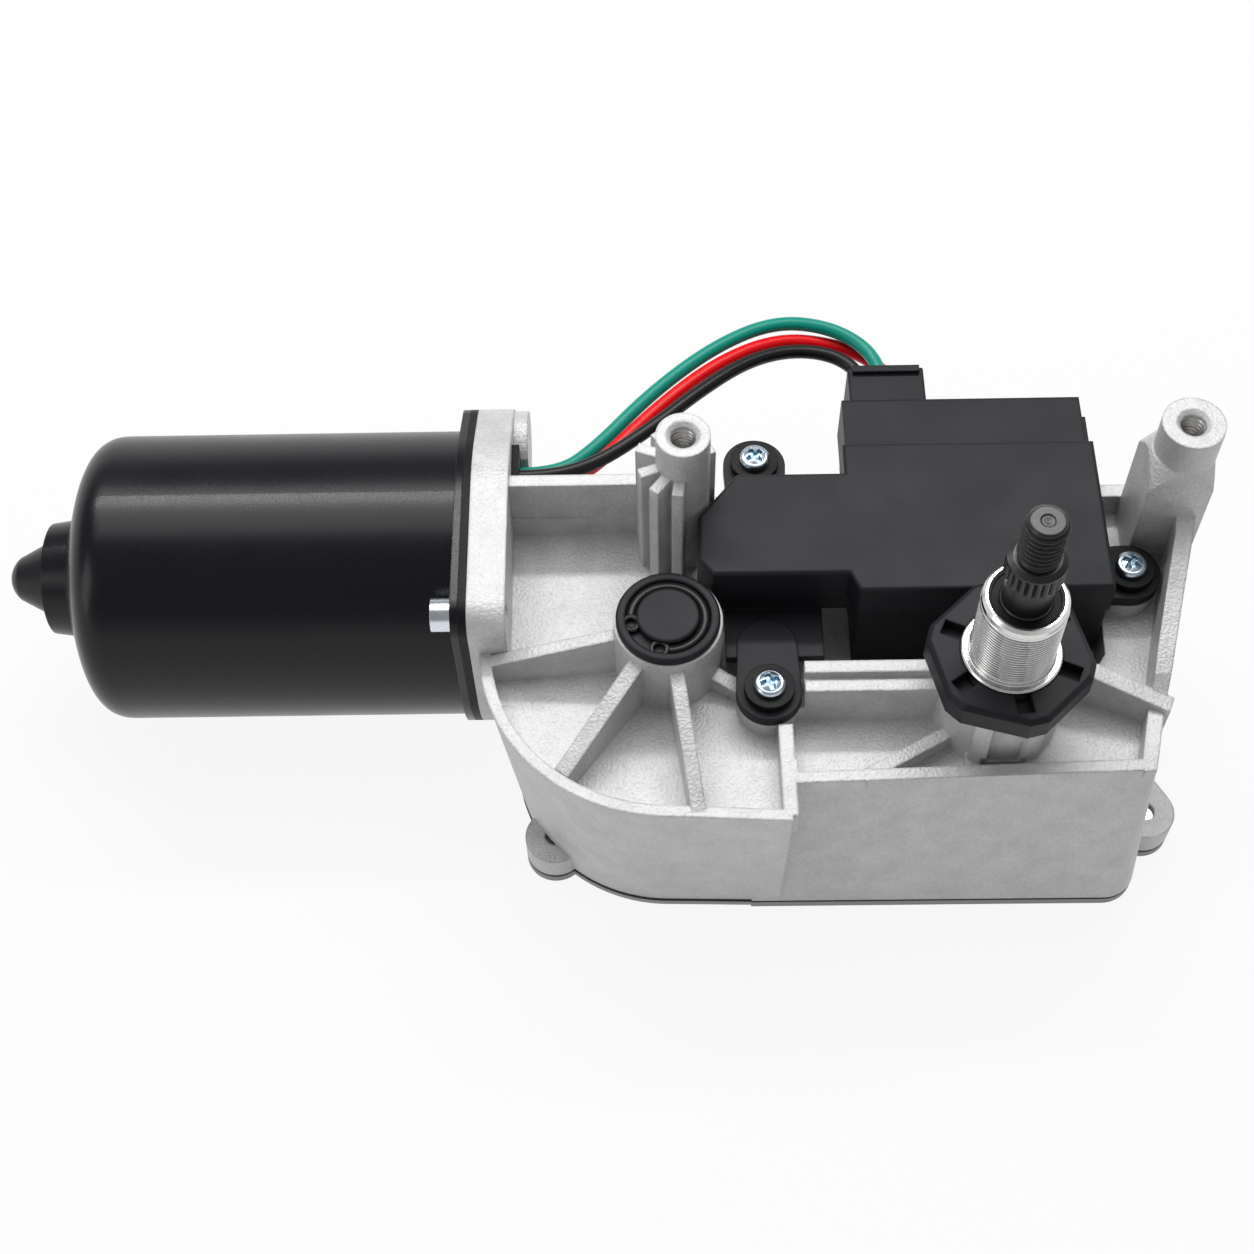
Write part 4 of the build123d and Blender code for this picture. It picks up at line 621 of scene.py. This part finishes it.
class WIPER_OT_boss_cap(bpy.types.Operator):
    """Makes the cap of the gear boss and the spring ring in its groove"""
    bl_idname = "wiper.boss_cap"
    bl_label = "Boss cap and ring"

    def execute(self, context):
        low, high = (np.array(corner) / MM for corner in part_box("boss_cap"))
        axis = np.array([(low[0] + high[0]) / 2, (low[1] + high[1]) / 2, 0])
        rim_r, foot, top = (high[0] - low[0]) / 2, low[2], high[2]
        face, groove, seat = top - 0.5, top - 1.7, top - 2.1
        path = densify([(0.3, foot), (CAP_SPIGOT_R, foot), (CAP_SPIGOT_R, seat), (rim_r, seat),
                        (rim_r, face - 0.5), (rim_r - 0.15, face - 0.15), (rim_r - 0.5, face),
                        (CAP_GROOVE_R + 0.3, face), (CAP_GROOVE_R + 0.05, face - 0.2), (CAP_GROOVE_R, groove),
                        (CAP_DISC_R, groove), (CAP_DISC_R, top - 0.4), (CAP_DISC_R - 0.12, top - 0.12),
                        (CAP_DISC_R - 0.4, top), (0.1, top)], 0.4)
        points, faces = turned(np.repeat(path[:, :1], 120, axis=1), path[:, 1], False)
        add_piece("turned_cap", points + axis, faces, plastic_material("cap_plastic"),
                  stands_for=["boss_cap"])
        inner, outer = RING_R
        crest = groove + RING_T
        section = np.array([(inner, groove), (inner, crest), (outer, crest), (outer, groove)])
        angles = np.radians(np.linspace(RING_MID + RING_HALF_GAP, RING_MID + 360 - RING_HALF_GAP, 90))
        across = np.stack([np.outer(np.cos(angles), section[:, 0]), np.outer(np.sin(angles), section[:, 0]),
                           np.tile(section[:, 1], (len(angles), 1))], axis=-1).reshape(-1, 3)
        strip = grid_faces(len(angles), 4, False, True)
        ends = np.array([[3, 2, 1, 0], [len(across) - 4, len(across) - 3, len(across) - 2, len(across) - 1]])
        groups, quads = [across], [outward(across, np.vstack([strip, ends]))]
        hole, rim = EYE_R
        for turn in (-EYE_TURN, EYE_TURN):
            a = math.radians(RING_MID + turn)
            eye = np.array([(hole, groove), (hole, groove + 1.0), (rim, groove + 1.0), (rim, groove)])
            points, faces = turned(np.repeat(eye[:, :1], 40, axis=1), eye[:, 1], True)
            start = sum(len(g) for g in groups)
            groups.append(points + EYE_DIST * np.array([math.cos(a), math.sin(a), 0]))
            quads.append(faces + start)
        ring = metal_material("spring_black", (0.01, 0.01, 0.011), 0.4, metallic=0.2, edge=0.15)
        add_piece("eyelet_ring", np.vstack(groups) + axis, np.vstack(quads), ring,
                  stands_for=["retaining_ring"])
        return {"FINISHED"}


class WIPER_OT_wires(bpy.types.Operator):
    """Lays the three wires from the flange to the plug"""
    bl_idname = "wiper.wires"
    bl_label = "Wires"

    def execute(self, context):
        colours = settings().colours
        routes = {
            "wire_green": (colours.green, [
                (-0.0935, 0.0558, 0.0506), (-0.086, 0.0558, 0.0506), (-0.0785, 0.061, 0.0512),
                (-0.066, 0.0756, 0.0522), (-0.052, 0.088, 0.0524), (-0.039, 0.0954, 0.0512),
                (-0.0274, 0.0954, 0.0494), (-0.0192, 0.0904, 0.0484), (-0.016, 0.0824, 0.0486),
                (-0.016, 0.0745, 0.0486)]),
            "wire_red": (colours.red, [
                (-0.0935, 0.0524, 0.0506), (-0.086, 0.0524, 0.0506), (-0.0775, 0.0572, 0.0514),
                (-0.065, 0.0712, 0.0524), (-0.052, 0.0838, 0.0516), (-0.0385, 0.0922, 0.0492),
                (-0.026, 0.0932, 0.046), (-0.017, 0.0896, 0.0444), (-0.0124, 0.0822, 0.0438),
                (-0.0124, 0.0745, 0.0438)]),
            "wire_black": (colours.black, [
                (-0.0935, 0.0518, 0.0552), (-0.0865, 0.0518, 0.0552), (-0.077, 0.0548, 0.0558),
                (-0.066, 0.0634, 0.056), (-0.0555, 0.074, 0.055), (-0.045, 0.0834, 0.053),
                (-0.035, 0.088, 0.0506), (-0.0258, 0.0876, 0.0489), (-0.0202, 0.082, 0.0486),
                (-0.0202, 0.0745, 0.0486)]),
        }
        for name, (colour, route) in routes.items():
            line = bpy.data.curves.new(name + "_line", "CURVE")
            line.dimensions = "3D"
            line.bevel_depth = WIRE_R * MM
            line.bevel_resolution = 6
            line.use_fill_caps = True
            line.resolution_u = 10
            spline = line.splines.new("NURBS")
            spline.points.add(len(route) - 1)
            spline.points.foreach_set("co", np.column_stack([route, np.ones(len(route))]).ravel())
            spline.order_u = 3
            spline.use_endpoint_u = True
            insulation = plain_material(name + "_insulation", colour, 0.0, 0.34, 0.3)[0]
            line.materials.append(insulation)
            piece = bpy.data.objects.new(name + "_lead", line)
            bpy.context.scene.collection.objects.link(piece)
            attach(piece, "housing")
            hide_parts(name)
        return {"FINISHED"}


class WIPER_OT_box_screws(bpy.types.Operator):
    """Makes the pan-head screws of the controller box with their cross recesses"""
    bl_idname = "wiper.box_screws"
    bl_label = "Box screws"

    def execute(self, context):
        zinc = metal_material("bright_zinc", (0.66, 0.76, 0.86), 0.24, edge=0.05)
        # painted shade: the cross recesses take a darker zinc, so they read as shaded
        recess_shade = metal_material("zinc_recess_painted_shade", (0.26, 0.38, 0.46), 0.35, edge=0.05)
        mesh = frame["nodes"]["box_screws"].data
        flat = np.empty(len(mesh.vertices) * 3)
        mesh.vertices.foreach_get("co", flat)
        corners = flat.reshape(-1, 3) / MM
        top = corners[:, 2].max()
        foot, seat = corners[:, 2].min(), top - SCREW_HEAD_H
        crowns = corners[corners[:, 2] > top - 0.05]
        centres = cluster_centres(crowns, SCREW_APART)
        all_points, all_faces, all_deep, start = [], [], [], 0
        for k, (x, y) in enumerate(centres):
            turn = math.radians(20 + 17 * k)
            points, faces, deep = screw(SCREW_HEAD_R, SCREW_SHANK_R, foot, seat, top, turn)
            all_deep.append(deep)
            all_points.append(points + np.array([x, y, 0]))
            all_faces.append(faces + start)
            start += len(points)
        add_piece("cross_screws", np.vstack(all_points), np.vstack(all_faces), zinc,
                  stands_for=["box_screws"], grooves=(recess_shade, np.concatenate(all_deep)))
        return {"FINISHED"}


def cluster_centres(points, reach):
    """Plan centres of groups of points that lie further apart than a reach."""
    left = points[:, :2]
    centres = []
    while len(left):
        near = np.linalg.norm(left - left[0], axis=1) < reach
        group = left[near]
        centres.append((group.min(0) + group.max(0)) / 2)
        left = left[~near]
    return centres


def screw(head_r, shank_r, foot, seat, top, turn):
    """Pan-head screw as a turned surface: the head is a crown whose middle sinks where a cross of two arms,
    narrow in |x| or |y| and bounded in the other, is cut with soft flanks."""
    bend = np.linspace(0.0, 1.0, 10) * math.pi / 2
    edge = [(head_r - 0.9 * (1 - math.cos(a)), top - 0.55 - 0.9 + 0.9 * math.sin(a)) for a in bend]
    body = densify([(0.4, foot), (shank_r, foot + 0.8), (shank_r, seat), (head_r, seat), edge[0]], 0.4)
    crown_r = np.linspace(edge[-1][0], 0.02, 60)
    crown_z = top - 0.55 + 0.55 * (1 - (crown_r / edge[-1][0]) ** 2)
    path = np.vstack([body, edge[1:], np.column_stack([crown_r, crown_z])[1:]])
    turns = np.linspace(0, 2 * np.pi, 144, endpoint=False)
    points, faces = turned(np.repeat(path[:, :1], len(turns), axis=1), path[:, 1], False)
    x = points[:, 0] * math.cos(turn) + points[:, 1] * math.sin(turn)
    y = -points[:, 0] * math.sin(turn) + points[:, 1] * math.cos(turn)
    along, across = np.maximum(abs(x), abs(y)), np.minimum(abs(x), abs(y))
    cut = np.clip((0.62 - across) / 0.16, 0, 1) * np.clip((1.95 - along) / 0.35, 0, 1)
    cut = np.maximum(cut, np.clip((0.95 - np.hypot(x, y)) / 0.2, 0, 1))
    deep = 1.15 * cut * (1.2 - 0.45 * along / 1.95)
    deep = np.where(points[:, 2] > top - 0.7, deep, 0)
    points[:, 2] -= deep
    # The faces deep in the cross are returned for the darker recess material, which is painted shade
    return points, faces, deep[faces].mean(axis=1) > 0.45


class WIPER_OT_stage(bpy.types.Operator):
    """Makes the floor, the lamps and the camera"""
    bl_idname = "wiper.stage"
    bl_label = "Stage"

    def execute(self, context):
        choice = settings().stage
        half = choice.floor_half
        floor = bpy.data.meshes.new("floor")
        corners = [(-half, -half, 0), (half, -half, 0), (half, half, 0), (-half, half, 0)]
        floor.from_pydata(corners, [], [(0, 1, 2, 3)])
        floor.materials.append(floor_material(choice))
        plane = bpy.data.objects.new("floor", floor)
        bpy.context.scene.collection.objects.link(plane)
        sky(choice)
        lamp("top_lamp", (-0.06, 0.24, 0.62), (-0.05, 0.03, 0.03), (0.75, 0.42), choice.top)
        lamp("strip_lamp", (-0.1, 0.41, 0.66), (-0.1, 0.043, 0.06), (0.9, 0.05), choice.strip)
        lamp("left_lamp", (-0.75, -0.3, 0.45), (-0.1, 0.03, 0.03), (0.3, 0.5), choice.side)
        camera()
        bpy.context.scene.view_settings.view_transform = "Standard"
        return {"FINISHED"}


def floor_material(choice):
    """Pale floor that the eye sees as nearly white and that still takes a shadow."""
    material = bpy.data.materials.new("pale_floor")
    material.use_nodes = True
    tree = material.node_tree
    shader = tree.nodes["Principled BSDF"]
    shader.inputs["Base Color"].default_value = (*choice.floor_colour, 1.0)
    shader.inputs["Roughness"].default_value = 0.9
    shader.inputs["Specular IOR Level"].default_value = 0.0
    white = tree.nodes.new("ShaderNodeEmission")
    blend = tree.nodes.new("ShaderNodeMixShader")
    seen = seen_ray(tree)
    share = tree.nodes.new("ShaderNodeMath")
    share.operation = "MULTIPLY"
    share.inputs[1].default_value = choice.backdrop
    link(tree, seen, "Value", share, 0)
    link(tree, share, "Value", blend, 0)
    link(tree, shader, "BSDF", blend, 1)
    link(tree, white, "Emission", blend, 2)
    tree.links.new(blend.outputs["Shader"], tree.nodes["Material Output"].inputs["Surface"])
    return material


def seen_ray(tree):
    """1 for camera, glossy and transmission rays."""
    path = tree.nodes.new("ShaderNodeLightPath")
    first = tree.nodes.new("ShaderNodeMath")
    first.operation = "MAXIMUM"
    link(tree, path, "Is Camera Ray", first, 0)
    link(tree, path, "Is Glossy Ray", first, 1)
    both = tree.nodes.new("ShaderNodeMath")
    both.operation = "MAXIMUM"
    link(tree, first, "Value", both, 0)
    link(tree, path, "Is Transmission Ray", both, 1)
    return both


def sky(choice):
    """Even light from all sides. The eye and glossy surfaces see white walls under a greyer ceiling."""
    world = bpy.data.worlds.new("studio")
    bpy.context.scene.world = world
    world.use_nodes = True
    tree = world.node_tree
    light = tree.nodes["Background"]
    light.inputs["Strength"].default_value = choice.sky
    light.inputs["Color"].default_value = (1, 1, 1, 1)
    white = tree.nodes.new("ShaderNodeBackground")
    white.inputs["Color"].default_value = (1, 1, 1, 1)
    place = tree.nodes.new("ShaderNodeTexCoord")
    parts = tree.nodes.new("ShaderNodeSeparateXYZ")
    fall = tree.nodes.new("ShaderNodeMapRange")
    fall.interpolation_type = "SMOOTHSTEP"
    fall.inputs["From Min"].default_value = 0.06
    fall.inputs["From Max"].default_value = 0.42
    fall.inputs["To Min"].default_value = 1.0
    fall.inputs["To Max"].default_value = choice.ceiling
    link(tree, place, "Generated", parts, "Vector")
    link(tree, parts, "Z", fall, "Value")
    link(tree, fall, "Result", white, "Strength")
    blend = tree.nodes.new("ShaderNodeMixShader")
    link(tree, seen_ray(tree), "Value", blend, 0)
    link(tree, light, "Background", blend, 1)
    link(tree, white, "Background", blend, 2)
    tree.links.new(blend.outputs["Shader"], tree.nodes["World Output"].inputs["Surface"])


def lamp(name, place, aim, size, power):
    """Rectangular soft lamp that faces a point."""
    data = bpy.data.lights.new(name, "AREA")
    data.shape = "RECTANGLE"
    data.size, data.size_y = size
    data.energy = power
    body = bpy.data.objects.new(name, data)
    look = np.array(aim) - np.array(place)
    back = -look / np.linalg.norm(look)
    side = np.cross((0.0, 1.0, 0.0) if abs(back[2]) > 0.9 else (0.0, 0.0, 1.0), back)
    side /= np.linalg.norm(side)
    up = np.cross(back, side)
    body.matrix_world = Matrix([[side[i], up[i], back[i], place[i]] for i in range(3)] + [[0, 0, 0, 1]])
    bpy.context.scene.collection.objects.link(body)


def camera():
    """The photograph's camera: yaw about the upright, then pitch down, then roll about the line of sight."""
    choice = settings().camera
    cy, sy = math.cos(choice.yaw), math.sin(choice.yaw)
    cp, sp = math.cos(choice.pitch), math.sin(choice.pitch)
    cr, sr = math.cos(choice.roll), math.sin(choice.roll)
    world_yaw = np.array([[cy, -sy, 0], [sy, cy, 0], [0, 0, 1]])
    down = np.array([[1, 0, 0], [0, -sp, -cp], [0, cp, -sp]])
    roll = np.array([[cr, -sr, 0], [sr, cr, 0], [0, 0, 1]])
    right, below, ahead = roll @ down @ world_yaw
    data = bpy.data.cameras.new("photo_camera")
    data.sensor_width = SENSOR
    data.lens = choice.focal / PHOTO_SIZE * SENSOR
    data.clip_start = 0.01
    data.clip_end = 20.0
    body = bpy.data.objects.new("photo_camera", data)
    place = choice.place
    rows = [[right[i], -below[i], -ahead[i], place[i]] for i in range(3)]
    body.matrix_world = Matrix(rows + [[0, 0, 0, 1]])
    bpy.context.scene.collection.objects.link(body)
    bpy.context.scene.camera = body


class WIPER_PT_panel(bpy.types.Panel):
    """Lists the steps in the sidebar"""
    bl_idname = "WIPER_PT_panel"
    bl_label = "Wiper motor"
    bl_space_type = "VIEW_3D"
    bl_region_type = "UI"
    bl_category = "Wiper motor"

    def draw(self, context):
        for step in STEPS:
            self.layout.operator(step.bl_idname)


SETTINGS = [CameraSettings, StageSettings, ThreadSettings, ColourSettings, WiperMotorSettings]
STEPS = [WIPER_OT_casting, WIPER_OT_motor, WIPER_OT_plastics, WIPER_OT_metals, WIPER_OT_inner_plastics,
         WIPER_OT_sleeve, WIPER_OT_shaft, WIPER_OT_post_threads, WIPER_OT_box_screws, WIPER_OT_boss_cap,
         WIPER_OT_wires, WIPER_OT_stage]


def register():
    """Makes the settings, the steps and the panel known."""
    for kind in [*SETTINGS, *STEPS, WIPER_PT_panel]:
        bpy.utils.register_class(kind)
    bpy.types.Scene.wiper_motor = PointerProperty(type=WiperMotorSettings)


def unregister():
    """Takes them away again."""
    del bpy.types.Scene.wiper_motor
    for kind in reversed([*SETTINGS, *STEPS, WIPER_PT_panel]):
        bpy.utils.unregister_class(kind)


def main():
    """Runs every step in order."""
    register()
    for step in STEPS:
        getattr(bpy.ops.wiper, step.bl_idname.split(".")[1])()


if __name__ == "__main__":
    main()
